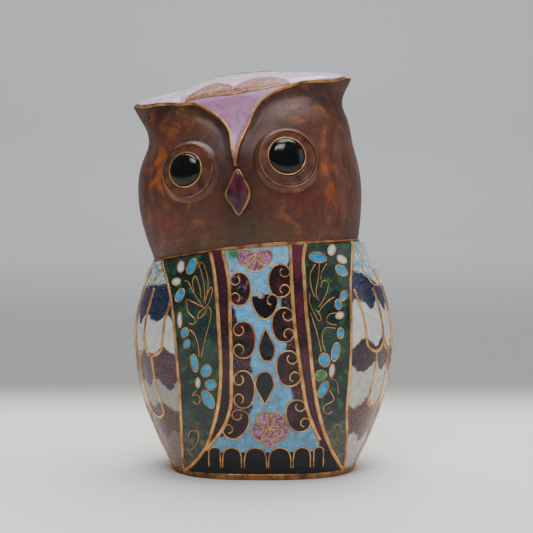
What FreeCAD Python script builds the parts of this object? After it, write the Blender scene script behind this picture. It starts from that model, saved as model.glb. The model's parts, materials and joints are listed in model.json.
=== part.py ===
"""A small cloisonne owl: copper shells, gilt wires soldered on, and glass enamel fired between the wires.

Frame: +Z up, the owl faces -Y, and the origin is the centre of the base's underside. Millimetres.
The body is a stack of rounded rings about +Z. The head is built in a frame of its own, whose origin is the
centre of the neck, and is then turned and tilted onto the body. Every wire is a ribbon drawn flat in one
view (front, side, back or top) and cut through the enamel layer, so wires and enamel fit edge to edge.
"""

import FreeCAD, Part
import math
import os

V = FreeCAD.Vector

# ---------------------------------------------------------------- driving dimensions
ENAMEL = 0.9            # thickness of the fired glass
PROUD = 0.06            # how far a wire's top stands above the glass
COPPER = 0.7            # wall of the copper shells
FINE_WIRE = 0.32        # width of a drawn motif's wire
FEATHER_WIRE = 0.55     # width of a feather's wire
STRAP_WIRE = 0.8        # width of the straps beside the breast
BROW_WIRE = 0.6         # width of the wires over the eyes
RIM_HEIGHT = 1.2        # foot rim
PLATE = 0.8             # base plate
VENT_RADIUS = 1.5       # kiln vent in the base plate
VENT_Y = 7.0
BAND_HEIGHT = 0.8       # neck band
NECK = V(-1.35, 0.0, 41.6)   # centre of the neck
HEAD_ROLL = -6.3        # degrees about Y: the owl's left ear is higher
HEAD_NOD = -3.0         # degrees about X: the face looks slightly up
HEAD_TURN = -6.0        # degrees about the head's own Z: towards the owl's right

# Rings of the outer surface: z, centre x, half width, half depth in front, half depth behind.
BODY_RINGS = [
    (0.0, 0.0, 17.0, 14.0, 14.0), (5.0, 0.0, 19.5, 15.8, 15.8), (12.0, 0.0, 22.3, 17.65, 17.95),
    (20.0, 0.0, 24.1, 18.8, 19.2), (28.0, 0.0, 24.25, 18.8, 19.35), (35.0, -0.07, 22.55, 17.95, 18.4),
    (41.0, -0.5, 20.3, 16.85, 17.0), (48.0, -1.2, 19.2, 16.4, 16.4),
]
BODY_P, BODY_Q = 2.8, 2.2    # roundness across the width and across the depth

# Head rings: z above the neck, half width, half depth in front, half depth behind, and both roundnesses.
HEAD_RINGS = [
    (0.0, 19.3, 16.6, 16.6, 2.4, 2.2), (5.0, 20.6, 17.9, 17.6, 2.4, 2.2), (10.0, 21.2, 18.4, 18.0, 2.4, 2.2),
    (15.0, 20.9, 18.1, 17.8, 2.4, 2.2), (19.0, 20.0, 16.9, 17.2, 2.4, 2.1),
    (22.0, 19.2, 15.5, 16.4, 2.4, 2.0), (25.0, 19.0, 13.9, 15.2, 2.4, 1.8),
    (27.5, 19.8, 12.5, 14.0, 2.4, 1.6), (29.2, 20.4, 11.3, 12.8, 2.3, 1.5),
    (30.4, 18.6, 9.6, 11.4, 2.2, 1.6), (31.6, 14.6, 7.3, 8.9, 2.1, 1.8), (32.6, 9.6, 4.7, 6.1, 2.0, 2.0),
    (33.2, 4.2, 2.0, 2.8, 2.0, 2.0),
]
EAR_RING = 8             # the ring through the ear tips, where the crown begins
BOSS_TOP, IRIS_TOP, DOME = 0.35, 1.0, 1.15   # heights along an eye's own axis, from the head's surface
EYE_WIRE, PUPIL_SHIFT = 0.36, -0.3
BEAK_RISE = 0.75
# Each eye, by the owl's side: x, z, disc radius, pupil radius.
EYES = {"right": (-8.5, 14.75, 5.0, 3.0), "left": (9.25, 14.75, 5.3, 3.25)}


# ---------------------------------------------------------------- flat curves shared by the motifs
def smooth(points, closed=False, steps=2):
    """Points along a Catmull-Rom curve through the given points."""
    n = len(points)
    spans = n if closed else n - 1
    out = []
    for i in range(spans):
        p1, p2 = points[i], points[(i + 1) % n]
        p0 = points[(i - 1) % n] if closed or i > 0 else (2 * p1[0] - p2[0], 2 * p1[1] - p2[1])
        p3 = points[(i + 2) % n] if closed or i + 2 < n else (2 * p2[0] - p1[0], 2 * p2[1] - p1[1])
        for s in range(steps):
            t = s / steps
            out.append(tuple(
                0.5 * (2 * p1[k] + (p2[k] - p0[k]) * t + (2 * p0[k] - 5 * p1[k] + 4 * p2[k] - p3[k]) * t * t
                       + (3 * p1[k] - p0[k] - 3 * p2[k] + p3[k]) * t ** 3) for k in (0, 1)))
    if not closed:
        out.append(points[-1])
    return out


def moved(points, cx, cz, sx=1.0, sz=1.0, turn=0.0):
    """Points scaled, turned by degrees, then moved to (cx, cz)."""
    c, s = math.cos(math.radians(turn)), math.sin(math.radians(turn))
    return [(cx + c * x * sx - s * z * sz, cz + s * x * sx + c * z * sz) for x, z in points]


def mirrored(points):
    return [(-x, z) for x, z in points]


HALF_SCROLL = [(1.0, 0.0), (0.86, 0.55), (0.42, 0.9), (-0.22, 0.98), (-0.78, 0.82), (-0.97, 0.46),
               (-0.68, 0.2), (-0.32, 0.36), (-0.24, 0.66)]
SCROLL = [(x, -z) for x, z in reversed(HALF_SCROLL[1:])] + HALF_SCROLL
DROP = [(0.0, 1.0), (-0.42, 0.1), (-0.5, -0.35), (-0.32, -0.85), (0.0, -1.0), (0.32, -0.85), (0.5, -0.35),
        (0.42, 0.1), (0.0, 1.0)]
PETAL = [(0.14, 0.0), (0.36, 0.3), (0.72, 0.48), (1.0, 0.24), (1.0, -0.24), (0.72, -0.48), (0.36, -0.3)]


def oval(cx, cz, long, wide, turn):
    ring = [(math.cos(k * math.pi / 5), math.sin(k * math.pi / 5)) for k in range(10)]
    return moved(ring, cx, cz, long, wide, turn)


def arch(x0, x1, top, bottom):
    """An arch open at the bottom."""
    m, h = (x0 + x1) / 2, min((x1 - x0) / 2, top - bottom)
    return [(x0, bottom), (x0 + 0.04 * h, top - h), (x0 + 0.3 * h, top - 0.28 * h), (m, top),
            (x1 - 0.3 * h, top - 0.28 * h), (x1 - 0.04 * h, top - h), (x1, bottom)]


def tongue(u0, u1, top0, top1, bottom):
    """A long U, open at the top: one feather."""
    m, h = (u0 + u1) / 2, (u1 - u0) / 2
    return [(u0 + 0.08, top0), (u0 + 0.08, (top0 + bottom + h) / 2), (u0 + 0.06 * h, bottom + h),
            (u0 + 0.34 * h, bottom + 0.3 * h), (m, bottom), (u1 - 0.34 * h, bottom + 0.3 * h),
            (u1 - 0.06 * h, bottom + h), (u1 - 0.08, (top1 + bottom + h) / 2), (u1 - 0.08, top1)]


TURQUOISE, WHITE = "petal_enamel_turquoise", "petal_enamel_white"


class Motif:
    """One wire: a name for its node, its path, its width, and the enamel that its loop holds."""

    def __init__(self, node, points, width=FINE_WIRE, closed=False, fill=None, seed=None, rough=False):
        self.node, self.width, self.closed, self.fill = node, width, closed, fill
        self.path = points if rough else smooth(points, closed)
        xs, zs = [p[0] for p in points], [p[1] for p in points]
        self.seed = seed or (sum(xs) / len(xs), sum(zs) / len(zs))


# ---------------------------------------------------------------- the front of the body, seen from -Y: (x, z)
WING_EDGE_R = [(-19.6, 51.0), (-19.0, 42.5), (-18.5, 39.2), (-17.5, 36.2), (-16.7, 33.0), (-16.0, 28.0),
               (-15.6, 23.0), (-15.1, 16.0), (-14.9, 10.0), (-14.8, 0.5)]
WING_EDGE_L = [(16.5, 51.0), (16.2, 40.0), (15.8, 36.0), (15.8, 30.0), (15.8, 25.0), (15.5, 19.0),
               (15.1, 13.0), (15.2, 8.0), (15.0, 0.5)]
STRAP_R_OUT = [(-12.0, 51.0), (-9.0, 39.3), (-8.4, 34.6), (-7.9, 28.0), (-7.6, 22.5), (-7.7, 17.5),
               (-8.2, 13.4), (-9.2, 9.5), (-10.6, 5.8), (-13.0, 2.5), (-14.6, 0.5)]
STRAP_R_IN = [(-9.8, 51.0), (-6.5, 38.5), (-6.0, 34.0), (-5.9, 29.0), (-5.7, 23.0), (-5.7, 17.0),
              (-5.95, 13.6), (-6.9, 10.6), (-8.5, 8.1), (-10.4, 5.7)]
STRAP_L_IN = [(4.4, 51.0), (5.0, 37.5), (5.35, 31.4), (5.9, 25.8), (6.75, 20.0), (7.7, 14.2), (8.9, 10.5),
              (10.3, 7.9), (12.1, 6.3)]
STRAP_L_OUT = [(9.8, 51.0), (7.2, 41.2), (7.3, 37.0), (7.6, 31.4), (8.2, 25.8), (8.8, 20.0), (9.4, 15.5),
               (10.5, 10.7), (12.0, 6.4), (13.5, 3.3), (14.8, 0.5)]
SCROLLS = [  # centre x, z, half width, half height, turn; the owl's right column opens to -X
    (-4.1, 35.05, 1.85, 2.95, 0), (-3.4, 26.05, 1.98, 3.25, 0), (-3.45, 17.15, 1.9, 3.4, 0),
    (-4.75, 10.6, 1.9, 2.9, -32)]
SCROLLS_LEFT = [(2.87, 36.5, 1.95, 2.9, 0), (3.5, 28.7, 1.95, 3.05, 3), (4.4, 20.9, 2.05, 3.2, 8),
                (6.15, 12.2, 2.0, 3.0, 17)]
HEART = [(-2.0, 33.4), (-0.95, 33.1), (0.1, 33.5), (0.1, 34.4), (-0.9, 34.7), (-1.9, 34.2), (-2.2, 33.0),
         (-1.6, 31.4), (0.1, 29.7), (1.7, 30.8), (2.5, 32.5), (2.2, 33.8), (1.3, 34.1), (0.5, 33.7),
         (0.1, 33.1)]
ARCHES = [(-9.9, -7.75), (-7.4, -3.95), (-3.45, 0.6), (0.95, 5.0), (5.4, 8.55), (9.1, 10.9)]
ARCH_TOP, ARCH_BOTTOM = 6.3, 0.8


def flower(node, fill, cx, cz, size, angles, wide=0.8):
    return [Motif(node, moved(PETAL, cx, cz, size, size * wide, a), closed=True, fill=fill,
                  seed=moved([(0.7, 0)], cx, cz, size, size, a)[0]) for a in angles]


def breast():
    m = [Motif("breast_strap_wires", p, STRAP_WIRE)
         for p in (STRAP_R_OUT, STRAP_R_IN, STRAP_L_IN, STRAP_L_OUT)]
    for cx, cz, sx, sz, turn in SCROLLS:
        seed = moved([(0.35, 0)], cx, cz, sx, sz, turn)[0]
        m.append(Motif("breast_scroll_wires", moved(SCROLL, cx, cz, sx, sz, turn),
                       fill="scroll_enamel", seed=seed))
    for cx, cz, sx, sz, turn in SCROLLS_LEFT:
        seed = moved([(-0.35, 0)], cx, cz, sx, sz, turn)[0]
        m.append(Motif("breast_scroll_wires", moved(mirrored(SCROLL), cx, cz, sx, sz, turn),
                       fill="scroll_enamel", seed=seed))
    m.append(Motif("heart_and_drop_wires", HEART, fill="heart_and_drop_enamel", seed=(0.2, 31.4)))
    m.append(Motif("heart_and_drop_wires", moved(DROP, 0.55, 25.2, 2.8, 3.0, 4),
                   fill="heart_and_drop_enamel"))
    m.append(Motif("heart_and_drop_wires", moved(DROP, 0.25, 17.4, 3.3, 3.0, 180),
                   fill="heart_and_drop_enamel"))
    m += flower("rosette_wires", "rosette_enamel", -1.5, 41.2, 3.0, (-165, -90, -15), 0.9)
    m += flower("rosette_wires", "rosette_enamel", 1.2, 9.9, 3.2, (125, 52, -16, -89, -161), 0.9)
    m += [Motif("toe_wires", arch(a, b, ARCH_TOP, ARCH_BOTTOM), fill="toe_enamel", seed=((a + b) / 2, 3.0))
          for a, b in ARCHES]
    return m


FLANK_L_PETALS = [  # x, z, half length, half width, turn, enamel
    (9.8, 40.6, 1.6, 0.9, -12, TURQUOISE), (12.3, 41.9, 1.0, 0.7, 70, WHITE),
    (14.2, 40.2, 1.0, 0.65, -30, WHITE),
    (14.1, 38.2, 1.25, 0.8, -35, TURQUOISE), (14.4, 33.7, 0.95, 0.6, 60, TURQUOISE),
    (13.4, 32.2, 0.9, 0.6, 100, TURQUOISE), (13.7, 30.3, 0.8, 0.6, 20, WHITE),
    (13.8, 27.1, 0.95, 0.6, 90, TURQUOISE), (10.9, 22.4, 1.25, 0.95, 100, TURQUOISE),
    (12.9, 23.8, 1.7, 0.7, 78, TURQUOISE), (10.25, 19.6, 1.1, 0.9, 20, TURQUOISE),
    (10.7, 17.1, 1.6, 0.8, 65, TURQUOISE), (12.3, 20.4, 1.2, 0.5, 85, WHITE)]
FLANK_L_STEMS = [
    [(9.3, 39.4), (8.5, 38.0), (8.4, 36.3), (8.8, 34.6), (9.4, 33.4)],
    [(10.1, 39.5), (9.8, 36.9), (9.4, 34.6), (9.9, 32.9)],
    [(11.4, 39.6), (10.5, 38.0), (10.2, 36.6)],
    [(10.3, 35.3), (10.6, 36.4), (11.6, 36.2), (11.4, 34.6), (10.6, 32.9), (9.8, 31.8)],
    [(12.7, 33.5), (11.9, 33.1), (10.6, 32.0), (9.9, 30.9)],
    [(8.3, 34.2), (8.2, 32.9), (9.1, 30.6), (9.9, 29.4), (10.3, 29.9), (9.6, 31.2)],
    [(8.4, 30.9), (9.2, 28.4), (9.9, 25.9), (10.3, 23.8)],
    [(12.9, 30.8), (11.7, 30.4), (11.3, 29.4), (12.0, 28.8), (13.1, 28.6)],
    [(12.9, 28.0), (11.2, 28.1), (10.5, 27.1), (10.6, 25.3), (11.1, 23.9)],
    [(12.0, 19.0), (13.1, 18.4), (13.5, 16.2)],
    [(11.9, 16.9), (12.6, 15.1), (11.0, 14.0), (10.9, 12.9), (11.7, 12.5), (12.4, 13.0)],
    [(12.6, 9.6), (13.4, 10.5), (13.9, 9.5), (13.3, 8.4), (13.5, 7.0)]]
FLANK_R_PETALS = [
    (-12.9, 39.0, 1.5, 0.75, 65, TURQUOISE), (-14.9, 38.9, 1.1, 0.65, 80, WHITE),
    (-15.7, 36.2, 0.8, 0.65, 20, WHITE), (-15.0, 33.8, 1.3, 0.7, 62, TURQUOISE),
    (-15.0, 29.4, 1.4, 0.45, 90, WHITE), (-14.1, 27.2, 0.9, 0.65, 70, TURQUOISE),
    (-13.7, 25.2, 0.85, 0.6, 70, TURQUOISE), (-12.3, 21.8, 1.6, 0.65, 100, TURQUOISE),
    (-10.2, 20.5, 1.15, 0.9, 80, TURQUOISE), (-9.35, 17.9, 1.0, 0.95, 10, TURQUOISE),
    (-9.9, 15.3, 1.8, 0.9, -62, TURQUOISE), (-11.7, 18.2, 1.0, 0.4, 90, WHITE)]
FLANK_R_STEMS = [
    [(-12.2, 40.2), (-11.6, 39.3), (-10.9, 37.2), (-10.5, 35.0), (-10.5, 33.0)],
    [(-11.7, 39.6), (-10.9, 39.6), (-10.0, 37.4), (-9.9, 35.2), (-10.4, 32.3)],
    [(-12.4, 34.4), (-12.7, 36.4), (-12.1, 37.2), (-11.4, 35.4), (-11.1, 33.4)],
    [(-14.2, 36.4), (-13.4, 36.1), (-12.4, 34.2), (-10.8, 31.9)],
    [(-10.5, 31.7), (-12.5, 32.6), (-13.7, 33.1), (-13.7, 32.0), (-13.3, 30.7), (-12.1, 29.5), (-12.6, 28.7),
     (-13.4, 29.0)],
    [(-10.7, 32.6), (-9.8, 34.6), (-9.3, 35.3), (-9.1, 34.6), (-9.7, 32.7), (-10.3, 31.7)],
    [(-10.4, 31.7), (-11.4, 30.9), (-11.7, 29.8), (-10.7, 30.4), (-10.0, 31.6)],
    [(-9.9, 31.9), (-9.3, 31.1), (-9.6, 29.1), (-10.3, 26.4), (-11.1, 23.0)],
    [(-13.2, 27.8), (-12.3, 27.0), (-11.6, 25.0), (-11.5, 23.0)],
    [(-11.9, 16.9), (-12.7, 15.9), (-11.8, 16.0), (-11.3, 15.2), (-11.8, 14.3), (-12.7, 14.7)],
    [(-13.7, 7.9), (-13.2, 9.1), (-12.0, 9.2), (-11.7, 8.3), (-12.1, 6.7), (-13.2, 5.4)]]


def flank(side, petals, stems, edge):
    m = [Motif("wing_edge_wires", edge, FEATHER_WIRE)]
    m += [Motif(f"flank_wires_{side}", oval(x, z, a, b, t), closed=True, fill=f)
          for x, z, a, b, t, f in petals]
    m += [Motif(f"flank_wires_{side}", p, 0.26) for p in stems]
    return m


# ---------------------------------------------------------------- wings: from +-X (y, z), then behind (x, z)
WING_SEAM = 12.5         # a wire down the wing, where its side turns into its rear
BACK_EDGE = [(11.0, 51.0), (9.9, 36.0), (8.9, 28.0), (7.7, 20.0), (6.8, 12.0), (6.6, 0.5)]


def scale_arch(u, v, wide):
    return [(u, v + 3.0), (u + 0.1 * wide, v + 1.0), (u + wide / 2, v), (u + 0.9 * wide, v + 1.0),
            (u + wide, v + 3.0)]


SHOULDER = 34.8          # the border wire between the shoulder scales and the long feathers
# First y, width and both rows' ends of each wing's feathers.
FEATHERS = {"right": (-14.6, 4.3, 22.6, 11.0), "left": (-14.2, 4.2, 23.4, 12.8)}


def feather_rows(first, wide, end1, end2, count, last):
    """Two rows of long U feathers, the second hung between the first, and shafts below them."""
    paths = [tongue(first + k * wide, first + (k + 1) * wide, SHOULDER, SHOULDER, end1) for k in range(count)]
    hung = first + wide / 2
    paths += [tongue(hung + k * wide, hung + (k + 1) * wide, end1, end1, end2) for k in range(count - 1)]
    for k in range(1, count - 1):
        u = first + (k + 1) * wide
        paths.append([(u, end2), (u - 0.4, 6.0), (u - 0.5, 0.5)])
    return [p for p in paths if max(x for x, z in p) < last]


def wing_side(side):
    node = f"feather_wires_{side}"
    first, wide, end1, end2 = FEATHERS[side]
    m = [Motif(node, p, FEATHER_WIRE) for p in feather_rows(first, wide, end1, end2, 6, WING_SEAM)]
    m.append(Motif(node, [(WING_SEAM, 51.0), (WING_SEAM, 24.0), (WING_SEAM, 0.5)], FEATHER_WIRE))
    m.append(Motif(f"shoulder_wires_{side}",
                   [(-21.0, SHOULDER), (-5.0, SHOULDER), (WING_SEAM + 1, SHOULDER)]))
    m += [Motif(f"shoulder_wires_{side}", scale_arch(u, 35.2, 4.2)) for u in (-10.4, -6.0, -1.6, 2.8, 7.2)]
    return m


def wing_rear(side):
    s = 1 if side == "left" else -1
    node = f"feather_wires_{side}"
    paths = [tongue(10.6, 14.6, SHOULDER, SHOULDER, 21.4), tongue(14.6, 18.6, SHOULDER, SHOULDER, 22.4),
             tongue(9.0, 12.6, 21.4, 21.4, 10.4), tongue(12.6, 16.6, 21.4, 22.4, 11.2),
             [(10.8, 10.4), (10.4, 6.0), (10.1, 0.5)], [(14.6, 11.2), (14.2, 6.0), (13.9, 0.5)]]
    m = [Motif(node, [(s * x, z) for x, z in p], FEATHER_WIRE) for p in paths]
    arches = ([scale_arch(u, 35.2, 3.7) for u in (11.0, 15.0)]
              + [[(7.0, SHOULDER), (14.0, SHOULDER), (23.0, SHOULDER)]])
    m += [Motif(f"shoulder_wires_{side}", [(s * x, z) for x, z in p]) for p in arches]
    return m


def back_panel():
    m = flower("back_flower_wires", TURQUOISE, 0.0, 31.5, 3.4, (90, 18, -54, -126, 162), 0.8)
    m += flower("back_flower_wires", WHITE, 0.6, 20.6, 2.6, (80, 8, -64, -136, 152), 0.8)
    for s in (1, -1):
        m.append(Motif("back_flower_wires", [(s * 1.2, 27.6), (s * 3.6, 26.4), (s * 5.0, 27.9),
                                             (s * 6.6, 26.0), (s * 4.6, 24.4), (s * 1.6, 24.8)], 0.26))
        m.append(Motif("back_flower_wires",
                       [(s * 2.4, 37.0), (s * 4.6, 38.6), (s * 6.9, 36.6), (s * 5.4, 35.2)], 0.26))
    m.append(Motif("back_flower_wires", [(0.2, 28.0), (-0.4, 26.0), (0.5, 23.4)], 0.26))
    m.append(Motif("tail_wires", [(-7.6, 17.0), (-3.6, 15.9), (0.0, 16.4), (3.6, 15.9), (7.6, 17.0)],
                   FEATHER_WIRE))
    m += [Motif("tail_wires", tongue(u, u + 3.8, 16.4, 16.4, b), FEATHER_WIRE)
          for u, b in ((-5.7, 4.6), (-1.9, 3.4), (1.9, 4.6))]
    return m


# ---------------------------------------------------------------- the head, in its own frame
BROW = [(0.0, 14.6), (0.5, 16.5), (1.0, 18.8), (1.85, 21.4), (3.4, 24.2), (5.5, 26.4), (8.1, 27.9),
        (11.4, 28.8), (14.5, 28.9), (17.2, 28.7), (19.4, 29.2), (22.0, 30.4)]
NAPE = [(0.0, 22.6), (5.0, 23.0), (10.0, 24.4), (15.0, 26.6), (18.6, 28.6), (22.0, 30.4)]
BEAK = [(0.3, 13.9), (-1.2, 11.9), (-2.2, 9.8), (-1.4, 7.8), (-0.3, 6.15), (1.3, 7.9), (2.1, 9.85),
        (1.45, 12.0)]
LEAF_FRONT = [(-8.2, -8.9), (-5.0, -9.5), (-2.0, -10.2), (0.9, -10.6), (3.6, -10.2), (6.6, -9.4),
              (10.0, -8.2)]
LEAF_BACK = [(-8.2, -8.9), (-6.0, -7.5), (-3.2, -7.0), (-0.9, -8.0), (0.5, -9.3), (2.0, -8.2), (4.8, -6.8),
             (8.0, -6.8), (10.0, -8.2)]
CREST = [(-9.4, -6.0), (-6.0, -3.2), (-1.0, -2.0), (4.0, -2.0), (8.6, -5.0)]


# ---------------------------------------------------------------- solids of revolution-like rings
def ring_wire(x, z, a, front, behind, p, q, n=16):
    """A closed rounded ring. Every ring has the same parameters, so a loft through them stays light."""
    pts = []
    for k in range(n):
        c, s = math.cos(2 * math.pi * k / n), math.sin(2 * math.pi * k / n)
        depth = behind if s > 0 else front
        pts.append(V(x + a * math.copysign(abs(c) ** (2 / p), c),
                     depth * math.copysign(abs(s) ** (2 / q), s), z))
    curve = Part.BSplineCurve()
    curve.interpolate(Points=pts, PeriodicFlag=True, Parameters=[k / n for k in range(n + 1)])
    return Part.Wire([curve.toShape()])


def body_solid(inset, top=48.0):
    rings = [r for r in BODY_RINGS if r[0] <= top]
    return Part.makeLoft([ring_wire(cx, z, a - inset, f - inset, b - inset, BODY_P, BODY_Q)
                          for z, cx, a, f, b in rings], True, False)


def head_solid(inset):
    wires = []
    for i, (z, a, f, b, p, q) in enumerate(HEAD_RINGS):
        lo, hi = HEAD_RINGS[max(i - 1, 0)], HEAD_RINGS[min(i + 1, len(HEAD_RINGS) - 1)]
        rise = hi[0] - lo[0]
        out = min(0.0, ((hi[1] - lo[1]) + (hi[2] - lo[2]) + (hi[3] - lo[3])) / 3)
        length = math.hypot(rise, out)
        if i == len(HEAD_RINGS) - 1:
            rise, out, length = 0.0, -1.0, 1.0
        side, down = inset * rise / length, inset * out / length
        wires.append(ring_wire(0.0, z + down, a - side, f - side, b - side, p, q))
    face, crown = (Part.makeLoft(part, True, False) for part in (wires[:EAR_RING + 1], wires[EAR_RING:]))
    return face.fuse(crown)


def half_space(point, normal, size=120.0):
    """A big block on the side of a plane that its normal points to."""
    block = Part.makeBox(size, size, size, V(-size / 2, -size / 2, 0))
    block.Placement = FreeCAD.Placement(point, FreeCAD.Rotation(V(0, 0, 1), normal))
    return block


def head_placement():
    turn = FreeCAD.Rotation(V(0, 0, 1), HEAD_TURN)
    nod = FreeCAD.Rotation(V(1, 0, 0), HEAD_NOD)
    roll = FreeCAD.Rotation(V(0, 1, 0), HEAD_ROLL)
    return FreeCAD.Placement(NECK, roll.multiply(nod).multiply(turn))


# ---------------------------------------------------------------- flat faces for wires and cells
PLANES = {  # how a flat point (u, v) becomes a point in space, and the way that the view's prisms run
    "front": (lambda u, v: V(u, 0, v), V(0, -40, 0)),
    "behind": (lambda u, v: V(u, 0, v), V(0, 40, 0)),
    "left": (lambda u, v: V(0, u, v), V(40, 0, 0)),
    "right": (lambda u, v: V(0, u, v), V(-40, 0, 0)),
    "top": (lambda u, v: V(u, v, 20), V(0, 0, 40)),
}


def flat_curve(points, view, closed=False):
    at = PLANES[view][0]
    curve = Part.BSplineCurve()
    curve.interpolate([at(*p) for p in points], PeriodicFlag=closed)
    return curve.toShape()


def flat_polygon(points, view):
    at = PLANES[view][0]
    return Part.Face(Part.makePolygon([at(*p) for p in points + points[:1]]))


def sides(path, width, closed):
    left, right = [], []
    n = len(path)
    for i in range(n):
        a, b = (path[(i - 1) % n] if closed or i else path[0],
                path[(i + 1) % n] if closed or i < n - 1 else path[-1])
        dx, dz = b[0] - a[0], b[1] - a[1]
        d = math.hypot(dx, dz) or 1.0
        ox, oz = -dz / d * width / 2, dx / d * width / 2
        left.append((path[i][0] + ox, path[i][1] + oz))
        right.append((path[i][0] - ox, path[i][1] - oz))
    return left, right


def ribbon(path, width, view, closed=False):
    """Flat faces of a wire. A long stroke is cut into pieces that turn too little to cross themselves."""
    left, right = sides(path, width, closed)
    if closed:
        outer, inner = (Part.Face(Part.Wire([flat_curve(s, view, True)])) for s in (left, right))
        if outer.Area < inner.Area:
            outer, inner = inner, outer
        return [outer.cut(inner)]
    faces, start, turned = [], 0, 0.0
    for i in range(1, len(path)):
        if 1 < i < len(path) - 1:
            a = math.atan2(path[i][1] - path[i - 1][1], path[i][0] - path[i - 1][0])
            b = math.atan2(path[i + 1][1] - path[i][1], path[i + 1][0] - path[i][0])
            turned += abs((b - a + math.pi) % (2 * math.pi) - math.pi)
        if i == len(path) - 1 or (turned > 2.4 and i - start >= 4 and len(path) - i > 4):
            at = PLANES[view][0]
            l, r = left[start:i + 1], right[start:i + 1]
            edges = [flat_curve(l, view), Part.makeLine(at(*l[-1]), at(*r[-1])), flat_curve(r, view),
                     Part.makeLine(at(*r[0]), at(*l[0]))]
            faces.append(Part.Face(Part.Wire(Part.__sortEdges__(edges))))
            start, turned = i, 0.0
    return faces


def united(faces):
    return faces[0].multiFuse(faces[1:]).removeSplitter() if len(faces) > 1 else faces[0]


def merged(shape):
    """Flat faces that share an edge, joined into one face for each stretch of touching wire."""
    groups = []
    for face in shape.Faces:
        keys, members = {e.hashCode() for e in face.Edges}, [face]
        rest = []
        for other in groups:
            if other[0] & keys:
                keys, members = keys | other[0], members + other[1]
            else:
                rest.append(other)
        groups = rest + [(keys, members)]
    out = []
    for _, members in groups:
        out += Part.makeCompound(members).removeSplitter().Faces if len(members) > 1 else members
    return out


class Region:
    """One view's share of an enamel layer: its wires, and the enamel cells that they leave."""

    def __init__(self, view, box, layer, wire_layer, motifs, ground, raised=None):
        self.view, self.motifs, self.ground = view, motifs, ground
        self.layer, self.wire_layer, self.raised = layer, wire_layer, raised or {}
        u0, v0, u1, v1 = box
        self.outline = flat_polygon([(u0, v0), (u1, v0), (u1, v1), (u0, v1)], view)

    def build(self, nodes):
        push = PLANES[self.view][1]
        by_node = {}
        for m in self.motifs:
            by_node.setdefault(m.node, []).extend(united(ribbon(m.path, m.width, self.view, m.closed)).Faces)
        taken = None
        for node, faces in by_node.items():
            flat = united(faces).common(self.outline)
            if taken is not None:
                flat = flat.cut(taken)
            faces = merged(flat)
            flat = Part.makeCompound(faces)
            taken = flat if taken is None else taken.fuse(flat)
            keep(nodes, node, [f.extrude(push) for f in faces if f.Area > 0.01],
                 self.raised.get(node, self.wire_layer))
        cells = self.outline.cut(taken) if taken is not None else self.outline
        at = PLANES[self.view][0]
        groups = {}
        for cell in cells.Faces:
            if cell.Area < 0.04:
                continue
            c = cell.CenterOfMass
            fill = self.ground(*{"left": (c.y, c.z), "right": (c.y, c.z),
                                 "top": (c.x, c.y)}.get(self.view, (c.x, c.z)))
            for m in self.motifs:
                if m.fill and cell.isInside(at(*m.seed), 1e-3, True):
                    fill = m.fill
                    break
            if fill:
                groups.setdefault(fill, []).append(cell.extrude(push))
        for fill, prisms in groups.items():
            keep(nodes, fill, prisms, self.raised.get(fill, self.layer))


def keep(nodes, name, prisms, layer):
    if not prisms:
        return
    cut = layer.common(Part.makeCompound(prisms)) if len(prisms) > 1 else layer.common(prisms[0])
    nodes.setdefault(name, []).extend(s for s in cut.Solids if s.Volume > 0.01)


# ---------------------------------------------------------------- the assembly
def x_at(curve, z):
    """Where a line down the body crosses height z."""
    for (x0, z0), (x1, z1) in zip(curve, curve[1:]):
        if min(z0, z1) <= z <= max(z0, z1) and z0 != z1:
            return x0 + (x1 - x0) * (z - z0) / (z1 - z0)
    return curve[0][0] if z > curve[0][1] else curve[-1][0]


def front_ground(x, z):
    edges = [(WING_EDGE_R, None), (STRAP_R_OUT, "flank_enamel_right"), (STRAP_R_IN, "strap_enamel"),
             (STRAP_L_IN, "breast_enamel"), (STRAP_L_OUT, "strap_enamel"), (WING_EDGE_L, "flank_enamel_left")]
    for curve, name in edges:
        if x < x_at(curve, z):
            return name
    return None


def back_ground(x, z):
    edge = x_at(BACK_EDGE, z)
    if abs(x) > edge:
        return None
    return "tail_enamel" if z < 16.0 else "back_enamel"


def wing_ground(side):
    def ground(u, z):
        part = "shoulder" if z > 36.0 else "upper_feather" if z > 24.5 else "lower_feather"
        return f"{part}_enamel_{side}"
    return ground


def block(x0, y0, z0, x1, y1, z1):
    return Part.makeBox(x1 - x0, y1 - y0, z1 - z0, V(x0, y0, z0))


def one_solid(shape):
    """The touching pieces of a layer, joined."""
    solids = [s for s in shape.Solids if s.Volume > 0.5]
    return solids[0].multiFuse(solids[1:]).removeSplitter() if len(solids) > 1 else solids[0]


def wing_of(layer, sign):
    """The part of a layer beyond the wires that edge one wing, in front and behind."""
    wing = layer.common(block(*((0, -40, 0, 40, 40, 60) if sign > 0 else (-40, -40, 0, 0, 40, 60))))
    for curve, view in ((WING_EDGE_L if sign > 0 else WING_EDGE_R, "front"),
                        ([(sign * x, z) for x, z in BACK_EDGE], "behind")):
        outer = max(sides(smooth(curve), FEATHER_WIRE, False), key=lambda line: sign * line[-1][0])
        at = PLANES[view][0]
        top, low = at(-sign, outer[0][1]), at(-sign, outer[-1][1])
        edges = [flat_curve(outer, view), Part.makeLine(at(*outer[-1]), low), Part.makeLine(low, top),
                 Part.makeLine(top, at(*outer[0]))]
        wing = wing.cut(Part.Face(Part.Wire(edges)).extrude(PLANES[view][1]))
    return max(wing.Solids, key=lambda s: s.Volume)


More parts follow.
